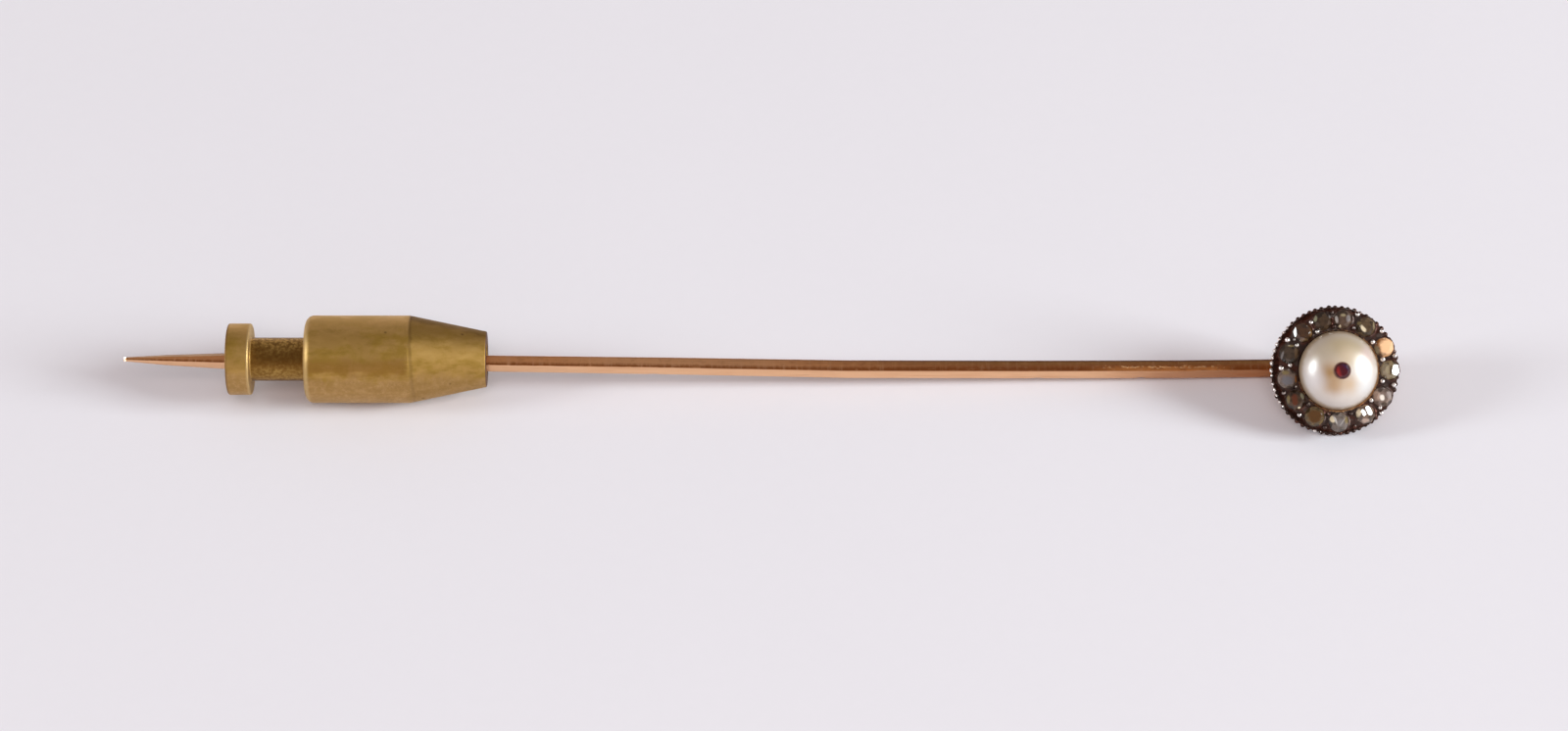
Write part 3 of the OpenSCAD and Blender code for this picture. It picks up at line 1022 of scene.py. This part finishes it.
# %% Press the face
CUP_R = PEARL_R + 0.3 * SET_GAP
CUP_LIP = 0.07 * MM
CUP_LEAN = 0.005 * MM
CUP_THICK = 0.035 * MM
EDGE_ROUND = 0.03 * MM
INNER_R = 0.02 * MM
SPOKES = 720
TOP_ROWS = 52
WALL_ROWS = 9
WALL_START = 0.05
FLUTE_DEPTH = 0.04 * MM
RIM_FLUTING = 0.6
WALL_FOOT_R = RIM_R - 0.04 * MM
WALL_FOOT_Z = 0.12 * MM
BACK_R = RIM_R - 0.1 * MM
SHEET_WEAR = 0.14
# How far the rim's moulding stands out from the rim, and its height, in millimetres
RIM_MOULDING = [(0.03, 0.10), (0.06, 0.04), (0.06, -0.04), (0.0, -0.12)]


def face_outline():
    """Rows of the sheet: a radius or a share of the way across or down, height and fluting."""
    cup_floor = SETTING_H - PEARL_SINK
    rows = [("radius", INNER_R, cup_floor, 0), ("radius", CUP_R, cup_floor, 0)]
    rows += [("radius", CUP_R, SETTING_H, 0), ("radius", CUP_R + CUP_LEAN, SETTING_H + CUP_LIP, 0)]
    rows += [("top", share, SETTING_H, 0) for share in np.linspace(0, 1, TOP_ROWS)]
    rows += [("wall", share, 0, 1) for share in np.linspace(WALL_START, 1, WALL_ROWS)]
    rows += [("radius", RIM_R + out * MM, z * MM, RIM_FLUTING) for out, z in RIM_MOULDING]
    rows += [("radius", radius, -PLATE_H, 0) for radius in (BACK_R, GALLERY_R, INNER_R)]
    return rows


def face_point(kind, share, height, fluting, angle):
    """One point of the sheet, on the spoke at this angle."""
    edge = edge_radius(angle)
    radius, z = share, height
    if kind == "top":
        radius = CUP_R + CUP_THICK + (edge - EDGE_ROUND - CUP_R - CUP_THICK) * share
    if kind == "wall":
        radius = edge + (WALL_FOOT_R - edge) * share
        z = SETTING_H - EDGE_ROUND + (WALL_FOOT_Z - SETTING_H + EDGE_ROUND) * share
    radius -= FLUTE_DEPTH * fluting * (0.5 - 0.5 * math.cos(BEAD_COUNT * angle))
    x, y, _ = on_circle(radius, angle)
    if kind == "top" and share < 1:
        z = face_height(x, y, z)
    return (x, y, z)


face_rows = face_outline()
spoke_angles = [2 * math.pi * spoke / SPOKES for spoke in range(SPOKES)]
face_points = [face_point(*row, angle) for row in face_rows for angle in spoke_angles]
face_mesh = mesh_from("face", face_points, grid_faces(len(face_rows), SPOKES, close_rows=True))
mark_points(face_mesh, "worn", [SHEET_WEAR] * len(face_mesh.vertices))
add_piece("setting_face", face_mesh, ON_HEAD, "pin", ["setting"], silver_finish, sharp=40)

# %% [markdown]
# Beads and grains
#
# The rim is milled: a toothed wheel is rolled along it and leaves a row of tiny beads. Between
# the stones a graver has raised grains, little balls of metal that are pushed over the edges
# of the stones to hold them. Both are many copies of one small ball, so they are made as two
# meshes, each with a loop.


# %% Many small balls in one mesh
BALL_TALLNESS = 1.1


def balls_mesh(name, balls, steps=14):
    """One mesh of many balls. Each ball is a middle, a radius and how worn it is."""
    work = bmesh.new()
    wear = []
    for middle, radius, worn in balls:
        shape = Matrix.Translation(middle) @ Matrix.Diagonal((1, 1, BALL_TALLNESS, 1))
        bmesh.ops.create_uvsphere(work, u_segments=steps, v_segments=steps - 4, radius=radius, matrix=shape)
        wear += [worn] * (len(work.verts) - len(wear))
    mesh = bpy.data.meshes.new(name)
    work.to_mesh(mesh)
    work.free()
    mark_points(mesh, "worn", wear)
    return mesh


# %% Mill the rim
random = np.random.default_rng(7)
# Where the beads are rubbed bright, in degrees clockwise from the top, and how much
BRIGHT_RIM = [
    (25, 0.5), (65, 0.45), (200, 0.5), (240, 0.7), (256, 0.9), (272, 0.85), (284, 0.95), (298, 0.9),
    (312, 0.7),
]
RUB_REACH = 9
RUB_CHANCE = 0.30


def rim_wear(clockwise):
    """How bare a rim bead is at this place round the rim."""
    near = [worn * max(0, 1 - abs(clockwise - place) / RUB_REACH) for place, worn in BRIGHT_RIM]
    return max(near) + random.uniform(0, RUB_CHANCE)


def rim_bead(number):
    """Middle, radius and wear of one bead. No two are quite alike, as a worn wheel leaves them."""
    clockwise = 360 * number / BEAD_COUNT + random.uniform(-0.5, 0.5)
    radius = RIM_R + random.uniform(-0.015, 0.01) * MM
    middle = on_circle(radius, ring_angle(clockwise), random.uniform(-0.01, 0.01) * MM)
    return (middle, BEAD_R * random.uniform(0.70, 0.88), rim_wear(clockwise))


rim_mesh = balls_mesh("rim_beads", [rim_bead(number) for number in range(BEAD_COUNT)])
add_piece("rim_beads", rim_mesh, ON_HEAD, "pin", ["setting"], silver_finish, sharp=60)

# %% Raise the grains
GRAIN_Z = SETTING_H + 0.04 * MM
# Degrees clockwise from the top, then distance from the middle and radius in millimetres, and wear
GRAINS = [
    (18.5, 3.20, 0.13, 0.7), (20, 2.42, 0.12, 0.35), (47.5, 3.17, 0.13, 0.75), (50, 2.42, 0.14, 0.85),
    (75, 3.15, 0.13, 0.6), (75.5, 2.48, 0.15, 1.0), (104, 3.10, 0.13, 0.8), (103, 2.46, 0.13, 0.9),
    (131, 3.02, 0.11, 0.7), (131.5, 2.40, 0.13, 0.9), (134, 3.26, 0.12, 0.8), (163, 3.15, 0.11, 0.2),
    (163, 2.42, 0.12, 0.4), (193, 3.15, 0.12, 0.2), (192, 2.42, 0.11, 0.25), (221, 3.17, 0.12, 0.6),
    (221, 2.44, 0.13, 0.35), (247.5, 3.18, 0.12, 0.45), (248, 2.44, 0.11, 0.2), (272, 3.08, 0.14, 1.0),
    (276, 2.62, 0.13, 0.95), (300.5, 3.20, 0.14, 0.95), (301, 2.62, 0.12, 0.75), (304.5, 2.90, 0.08, 0.5),
    (330, 2.98, 0.12, 0.7), (331, 2.38, 0.13, 0.65), (353.5, 3.12, 0.10, 0.3), (354, 2.38, 0.12, 0.3),
]
grain_balls = [
    (on_circle(distance_out * MM, ring_angle(clockwise), GRAIN_Z), radius * MM, worn)
    for clockwise, distance_out, radius, worn in GRAINS
]
grain_mesh = balls_mesh("grains", grain_balls, steps=18)
add_piece("setting_grains", grain_mesh, ON_HEAD, "pin", ["setting"], silver_finish, sharp=60)

# %% [markdown]
# The diamonds
#
# Each diamond is cut the way a cutter does it: from a round blank, one flat at a time, an even
# crown round a table. What shows through the table is light and reflection coming back out of the
# stone, and the finish paints it: a dark body colour, a lighter or darker share for each facet and
# soft patches of painted reflection, different in each stone. Three stones flash. A flash is a facet
# deep in the stone that mirrors a softbox, so in that patch the finish tilts the surface exactly
# half way between the camera and the softbox.


# %% Cutting a stone
STONE_H = 0.31 * MM
BLANK_SIDES = 40
CROWN_FACETS = 8
BREAK_SHARE = 0.78
BREAK_STEEPER = 16


def cut(work, normal, reach):
    """Takes away all that lies beyond a plane and closes the stone with a flat facet."""
    normal = Vector(normal).normalized()
    everything = list(work.verts) + list(work.edges) + list(work.faces)
    result = bmesh.ops.bisect_plane(
        work, geom=everything, dist=1e-8, plane_co=normal * reach, plane_no=normal, clear_outer=True
    )
    edges = [part for part in result["geom_cut"] if isinstance(part, bmesh.types.BMEdge)]
    if len(edges) > 2:
        bmesh.ops.contextual_create(work, geom=edges)


def tilted(slope, azimuth):
    """A direction that leans by slope from straight up, toward an azimuth, in degrees."""
    lean = math.radians(slope)
    return Vector(on_circle(math.sin(lean), math.radians(azimuth), math.cos(lean)))


def stone_mesh(name, width, slope, table_share, spin):
    """A round blank with a table, eight crown facets and eight break facets below them."""
    work = bmesh.new()
    radius = width / 2
    lift = moved(z=STONE_H / 2)
    bmesh.ops.create_cone(
        work, cap_ends=True, segments=BLANK_SIDES, radius1=radius, radius2=radius, depth=STONE_H, matrix=lift
    )
    for facet in range(CROWN_FACETS):
        normal = tilted(slope, spin + 360 * facet / CROWN_FACETS)
        corner = Vector((normal.x, normal.y, 0)).normalized() * radius * table_share + Vector((0, 0, STONE_H))
        cut(work, normal, normal.dot(corner))
        normal = tilted(slope + BREAK_STEEPER, spin + 360 * (facet + 0.5) / CROWN_FACETS)
        fall = (BREAK_SHARE - table_share) * radius * math.tan(math.radians(slope))
        corner = Vector((normal.x, normal.y, 0)).normalized() * radius * BREAK_SHARE
        cut(work, normal, normal.dot(corner + Vector((0, 0, STONE_H - fall))))
    mesh = bpy.data.meshes.new(name)
    work.to_mesh(mesh)
    work.free()
    return mesh


# %% Lights and flashes in a stone
OVAL, BOX = 2, 3.2


def patch_distance(x, y, patch, power):
    """How far a point is from a patch's middle, as a share of its size. The power rounds or squares it."""
    across, up, wide, high, turn = patch
    cosine, sine = math.cos(math.radians(turn)), math.sin(math.radians(turn))
    along = abs((x - across) * (cosine / wide) + (y - up) * (sine / wide))
    aside = abs((y - up) * (cosine / high) - (x - across) * (sine / high))
    return (along ** power + aside ** power) ** (1 / power)


def flash_normal(middle, box):
    """The way a facet faces that mirrors a softbox to the camera, as a direction in the scene."""
    to_camera = (camera_place - ON_HEAD @ middle).normalized()
    return (to_camera + light_direction(LIGHTS[box])).normalized()


def dimmed(colour, share):
    return tuple(number * share for number in colour)


# %% Diamond
FLASHING, PLAIN = {"IOR": 1.8, "Roughness": 0.08}, {"IOR": 1.5, "Roughness": 0.08}
# How much a facet leans this way is a large number, and its fraction differs from facet to facet
FACET_SCATTER = (31, 53, 27)


def painted_reflections(stone, x, y, body, patches):
    """Painted reflections seen through the table: a dark body with soft painted patches, each facet its own
    share.
    """
    here = stone.place()
    normal = stone.node("TexCoord", output="Normal")
    facet = stone.node("Math", {"operation": "FRACT"}, {0: stone.lean(normal, FACET_SCATTER)})
    shade = stone.step(stone.noise(here, 4.0, 3.0, 0.6) * 0.6 + facet * 0.4, 0.25, 0.75)
    tone = stone.mix(dimmed(body, 1.3), dimmed(body, 0.3), shade)
    wobble = (stone.noise(here, 3.2, 2.0) - 0.5) * 0.9
    for *patch, colour in patches:
        reach = patch_distance(x, y, patch, OVAL) + wobble
        light = stone.mix(colour, dimmed(colour, 0.7), facet)
        tone = stone.mix(tone, light, stone.step(reach, 0.6, 1.2, 1, 0))
    return tone


def diamond(name, home, body, patches, flashes, middle):
    """A stone's finish, from its foil's colour, the lights in it and its flashes."""
    stone = Finish(name, FLASHING if flashes else PLAIN, home)
    x, y, _ = stone.axes(stone.place())
    stone.set({"Base Color": painted_reflections(stone, x, y, body, patches)})
    normal = stone.node("TexCoord", output="Normal")
    for box, *patch in flashes:
        share = stone.step(patch_distance(x, y, patch, BOX), 0.95, 1.05, 1, 0)
        normal = stone.bend(normal, flash_normal(middle, box), share)
    if flashes:
        settings = {"vector_type": "NORMAL", "convert_from": "OBJECT", "convert_to": "WORLD"}
        stone.set({"Normal": stone.node("VectorTransform", settings, {0: normal})})
    return stone


# %% Colours of the painted reflections in the stones, and the thirteen cuts
# These colours are painted reflections and light seen inside the stones; FIRE is painted coloured fire
CREAM, PALE, BLUE = (0.76, 0.66, 0.46), (0.48, 0.45, 0.42), (0.15, 0.14, 0.15)
PEACH, FIRE, ORANGE = (0.46, 0.33, 0.26), (1.0, 0.62, 0.34), (0.30, 0.11, 0.02)
OLIVE, GREEN, SAND = (0.20, 0.15, 0.07), (0.29, 0.29, 0.19), (0.27, 0.22, 0.13)
BROWN, AMBER, RED = (0.06, 0.035, 0.018), (0.13, 0.068, 0.022), (0.10, 0.028, 0.012)
GREY, WARM_GREY, SILVERY = (0.20, 0.18, 0.175), (0.30, 0.25, 0.23), (0.34, 0.31, 0.29)
STRAW, IVORY = (0.36, 0.30, 0.19), (1.0, 0.92, 0.82)
COCOA, RUST = (0.10, 0.06, 0.03), (0.09, 0.04, 0.012)
# For each stone: slope of its crown in degrees, table as a share of its width, its flashes, the
# body's dark colour and the painted reflections in it. A painted reflection is a place across and
# up, a half width and a half height in millimetres, a turn in degrees and a colour. A flash is a
# softbox and such a patch.
CUTS = [
    (31, 0.50, [], (0.080, 0.050, 0.034), [
        (-0.02, 0.22, 0.15, 0.09, 0, SAND),
        (-0.36, -0.02, 0.08, 0.20, 10, PALE),
        (-0.19, -0.40, 0.07, 0.10, 0, CREAM),
        (0.26, 0.02, 0.14, 0.20, 0, GREY),
    ]),
    (31, 0.52, [], (0.085, 0.055, 0.03), [
        (-0.17, -0.09, 0.11, 0.22, 40, CREAM),
        (-0.38, 0.20, 0.11, 0.10, 0, OLIVE),
        (0.42, 0.05, 0.06, 0.24, 0, OLIVE),
    ]),
    (29, 0.50, [], (0.30, 0.14, 0.058), [
        (-0.20, 0.30, 0.26, 0.16, 35, ORANGE),
        (-0.40, -0.15, 0.15, 0.24, 20, SAND),
        (0.14, 0.03, 0.42, 0.54, 8, FIRE),
    ]),
    (32, 0.50, [("right", 0.36, 0.0, 0.25, 0.29, -8)], (0.20, 0.15, 0.08), [
        (-0.24, 0.06, 0.20, 0.34, 0, STRAW),
        (0.04, 0.0, 0.05, 0.25, 0, BROWN),
    ]),
    (31, 0.55, [], (0.20, 0.145, 0.12), [
        (-0.32, 0.05, 0.18, 0.30, 0, PEACH),
        (0.34, 0.10, 0.16, 0.24, 0, WARM_GREY),
        (-0.04, -0.02, 0.14, 0.17, 15, IVORY),
        (0.10, -0.38, 0.20, 0.12, 0, BROWN),
    ]),
    (32, 0.50, [("right", 0.16, 0.20, 0.13, 0.26, 27), ("right", -0.13, 0.09, 0.10, 0.18, 30)],
     (0.17, 0.115, 0.085), [
        (-0.40, 0.08, 0.15, 0.24, 0, CREAM),
        (0.30, -0.20, 0.20, 0.15, 0, BROWN),
        (0.0, -0.34, 0.24, 0.12, 0, PEACH),
    ]),
    (30, 0.60, [], (0.135, 0.11, 0.095), [
        (-0.40, 0.20, 0.13, 0.26, 25, CREAM),
        (0.40, 0.12, 0.12, 0.20, 0, OLIVE),
        (-0.20, 0.10, 0.06, 0.28, 25, PALE),
        (0.08, -0.05, 0.22, 0.22, 0, GREY),
        (0.17, 0.0, 0.04, 0.24, -35, SILVERY),
    ]),
    (31, 0.62, [], (0.125, 0.085, 0.04), [
        (0.0, 0.0, 0.40, 0.40, 0, RUST),
    ]),
    (31, 0.52, [], (0.055, 0.032, 0.018), [
        (-0.08, 0.0, 0.17, 0.34, 5, RED),
        (-0.42, 0.02, 0.08, 0.24, 0, OLIVE),
        (0.32, 0.22, 0.10, 0.18, 20, GREEN),
        (0.17, -0.42, 0.09, 0.07, 0, CREAM),
    ]),
    (31, 0.65, [], (0.15, 0.11, 0.088), [
        (-0.12, 0.34, 0.22, 0.12, 0, OLIVE),
        (-0.02, -0.10, 0.36, 0.26, 0, BLUE),
        (0.44, -0.05, 0.06, 0.20, 0, ORANGE),
    ]),
    (31, 0.55, [], (0.048, 0.032, 0.021), [
        (-0.42, -0.12, 0.06, 0.26, -15, GREY),
        (0.34, 0.0, 0.12, 0.30, 0, COCOA),
        (0.05, 0.42, 0.20, 0.07, 0, OLIVE),
    ]),
    (31, 0.50, [("left", -0.46, 0.07, 0.085, 0.30, 4)], (0.042, 0.016, 0.004), [
        (0.42, -0.05, 0.08, 0.26, 0, AMBER),
        (0.05, -0.38, 0.25, 0.10, 0, AMBER),
    ]),
    (31, 0.50, [], (0.046, 0.027, 0.015), [
        (-0.42, 0.16, 0.10, 0.19, -5, GREEN),
        (0.40, 0.30, 0.10, 0.12, 0, GREY),
    ]),
]
print("lights in the stones:", sum(len(lights) for *_, lights in CUTS))

# %% Cut and set the diamonds
SEAT_Z = SETTING_H - SEAT_DEPTH + SET_GAP
for number, (_, width, spin) in enumerate(STONES):
    slope, table_share, flashes, body, patches = CUTS[number]
    middle = Vector((*stone_middles[number], SEAT_Z))
    place = ON_HEAD @ Matrix.Translation(middle)
    name = f"diamond_{number + 1:02d}"
    mesh = stone_mesh(name, width * MM, slope, table_share, spin)
    finish = diamond(name, place, body, patches, flashes, middle)
    add_piece(name, mesh, place, "pin", [f"stone_{number + 1:02d}"], finish, sharp=1)

# %% [markdown]
# The pearl
#
# A button pearl is a flattened ball, and no pearl is quite even. Its lustre is a soft shine
# just under the skin, so the finish has a cream body and a strong but blurred shine. Over the body
# are soft patches that are partly the pearl's own overtones and partly painted reflection and
# shade. It is darker at the top and left of the middle, whiter low down at the left and right where
# the paper is mirrored, and darker in a ring round the outside. Near the setting the skin is
# painted browner, a painted shade where the pearl goes down into it. A bump a millimetre high,
# worked out from the place and not from noise, makes the sides a little evener than a ball's,
# which is what makes the two lights in the pearl wide and tall.


# %% Nacre
PEARL_PLACE = ON_HEAD @ moved(z=SETTING_H + 2 * SET_GAP)
# Overtones, painted reflections and painted shade: place across and up in millimetres, size, softness and
# colour
NACRE_OVERTONES_AND_REFLECTIONS = [
    (-0.62, -0.15, 0.52, 0.52, (0.34, 0.18, 0.04)), (-0.40, -0.76, 0.44, 0.42, (0.42, 0.265, 0.13)),
    (0.42, -0.75, 0.40, 0.45, (0.56, 0.41, 0.26)), (0.40, 0.75, 0.50, 0.50, (0.56, 0.45, 0.30)),
    (1.5, 0.95, 0.4, 0.4, (0.53, 0.39, 0.34)), (-1.0, 1.1, 0.5, 0.5, (0.47, 0.40, 0.29)),
    (-1.55, -0.5, 0.5, 0.5, (0.66, 0.63, 0.62)), (1.45, -0.85, 0.5, 0.5, (0.62, 0.62, 0.61)),
]


def nacre():
    pearl = Finish("nacre", {"IOR": 2.5, "Roughness": 0.33}, PEARL_PLACE)
    here = pearl.place()
    clouds = pearl.noise(here, 0.55, 2.0, 0.5) - 0.5
    x, y, _ = pearl.axes(here)
    # The body is painted darker towards the top, partly painted reflection of the dim room
    tone = pearl.mix((0.59, 0.53, 0.47), (0.41, 0.33, 0.20), pearl.step(y + clouds * 1.6, -0.2, 1.3))
    for across, up, size, soft, colour in NACRE_OVERTONES_AND_REFLECTIONS:
        off = distance(x - across, y - up) + clouds * 0.5
        tone = pearl.mix(tone, colour, pearl.step(off, size - soft, size + soft, 1, 0))
    # A darker ring round the outside and a browner edge by the setting: painted shade
    past_edge = distance(x, y) - PEARL_R / MM
    edge = pearl.step(past_edge, -0.23, 0) * pearl.step(x, 1.2, 2.1, 1, 0.6)
    tone = pearl.coats(
        tone,
        ((0.45, 0.40, 0.36), pearl.step(past_edge, -0.68, -0.13) * 0.55),
        ((0.34, 0.245, 0.155), edge),
    )
    evener = x * x * (x * (x * 0.0044 + 0.0075) - 0.0507) - y * 0.014
    pearl.set({"Base Color": tone, "Normal": pearl.bump(evener, MM)})
    return pearl


nacre_finish = nacre()
print("nacre is made of", len(nacre_finish.nodes), "nodes")

# %% Turn the pearl
PEARL_STEPS = 64
AXIS_GAP = 1e-6
RUBY_SEAT = 0.42 * MM
SEAT_CLEAR = 0.03 * MM
LIP_BREAK_OUT = 0.015 * MM
LIP_BREAK_DOWN = 0.02 * MM
seat_r = RUBY_D / 2 + 0.2 * SET_GAP
seat_floor = PEARL_RISE - RUBY_SEAT
lip_z = PEARL_RISE * math.sqrt(1 - (seat_r / PEARL_R) ** 2)
pearl_outline = [(AXIS_GAP, -PEARL_SINK)]
for step_no in range(1, PEARL_STEPS):
    angle = -math.pi / 2 + math.pi * step_no / PEARL_STEPS
    rise = PEARL_SINK if angle < 0 else PEARL_RISE
    if PEARL_R * math.cos(angle) > seat_r + SEAT_CLEAR or angle < 0:
        pearl_outline.append((PEARL_R * math.cos(angle), rise * math.sin(angle)))
pearl_outline += [(seat_r + LIP_BREAK_OUT, lip_z), (seat_r, lip_z - LIP_BREAK_DOWN)]
pearl_outline += [(seat_r, seat_floor), (AXIS_GAP, seat_floor)]
pearl_mesh = lathe("pearl", pearl_outline, segments=128)
add_piece("button_pearl", pearl_mesh, PEARL_PLACE, "pin", ["pearl"], nacre_finish, sharp=40)

# %% [markdown]
# The ruby
#
# A tiny ruby, let into the crown of the pearl. It is deep red, and its finish paints the light
# in it: nearly black where nothing bright stands behind a facet, and lighter on the left, as
# painted reflection. Its blank is a cone under a short drum, and eight flats are cut off the drum
# in the same way as on the diamonds.


# %% Ruby
RUBY_GIRDLE = 0.06 * MM
RUBY_PLACE = PEARL_PLACE @ moved(z=PEARL_RISE - RUBY_GIRDLE)


def ruby():
    red = Finish("ruby", {"IOR": 1.5, "Roughness": 0.12}, RUBY_PLACE)
    x, y, _ = red.axes(red.place())
    past_edge = distance(x, y) - RUBY_D / 2 / MM
    # Lighter red on the left, darker at the upper right and near the edge: painted reflection and shade
    tone = red.coats(
        red.mix((0.06, 0.005, 0.010), (0.22, 0.015, 0.015), red.step(x + y * 0.3, -0.06, -0.26)),
        ((0.035, 0.008, 0.035), red.step(x + y, 0.12, 0.4)),
        ((0.03, 0.006, 0.008), red.step(past_edge, -0.17, -0.05)),
        ((0.26, 0.13, 0.10), red.step(past_edge, -0.045, -0.01)),
    )
    red.set({"Base Color": tone})
    return red


ruby_finish = ruby()
print("ruby is made of", len(ruby_finish.nodes), "nodes")

# %% Cut the ruby
RUBY_TOP = 0.15 * MM
RUBY_DEEP = 0.3 * MM
RUBY_SIDES = 24
RUBY_FACETS = 8
RUBY_SPIN = 0.74
# The way its flats face: this much outward for this much up
FLAT_OUT, FLAT_UP = 0.42, 0.9

ruby_work = bmesh.new()
blanks = [(RUBY_D * 0.1, RUBY_DEEP, -RUBY_DEEP / 2), (RUBY_D / 2, RUBY_TOP, RUBY_TOP / 2)]
for foot_r, depth, middle_z in blanks:
    bmesh.ops.create_cone(
        ruby_work, cap_ends=True, segments=RUBY_SIDES, radius1=foot_r, radius2=RUBY_D / 2, depth=depth,
        matrix=moved(z=middle_z),
    )
bmesh.ops.remove_doubles(ruby_work, verts=ruby_work.verts, dist=DOUBLED)
for facet in range(RUBY_FACETS):
    angle = 2 * math.pi * (facet + RUBY_SPIN) / RUBY_FACETS
    flat = Vector(on_circle(FLAT_OUT, angle, FLAT_UP)).normalized()
    cut(ruby_work, flat, flat.dot(Vector(on_circle(RUBY_D / 2, angle, RUBY_GIRDLE))))
ruby_mesh = bpy.data.meshes.new("ruby")
ruby_work.to_mesh(ruby_mesh)
ruby_work.free()
add_piece("ruby_stone", ruby_mesh, RUBY_PLACE, "pin", ["ruby"], ruby_finish, sharp=1)

# %% [markdown]
# The table
#
# The pin lies on a sheet of matt white paper. A diffuse surface with a trace of violet and the
# faintest mottling is all that it needs.


# %% Lay the paper
def paper():
    sheet = Finish("paper", {"Roughness": 0.9, "Specular IOR Level": 0.1})
    here = sheet.place()
    mottle = sheet.noise(here, 0.03, 4.0, 0.6)
    fibre = sheet.noise(here, 1.2, 2.0, 0.6)
    sheet.set({"Base Color": sheet.mix((0.80, 0.80, 0.85), (0.76, 0.76, 0.81), mottle * 0.6 + fibre * 0.3)})
    return sheet


HALF_FLOOR = 1.5
floor_corners = [(x * HALF_FLOOR, y * HALF_FLOOR, 0) for x, y in ((-1, -1), (1, -1), (1, 1), (-1, 1))]
floor = bpy.data.objects.new("floor", mesh_from("floor", floor_corners, [(0, 1, 2, 3)]))
floor.data.materials.append(paper().material)
bpy.context.scene.collection.objects.link(floor)
print("the paper is", 2 * HALF_FLOOR, "metres wide")

# %% Bring the scene up to date
bpy.context.view_layer.update()
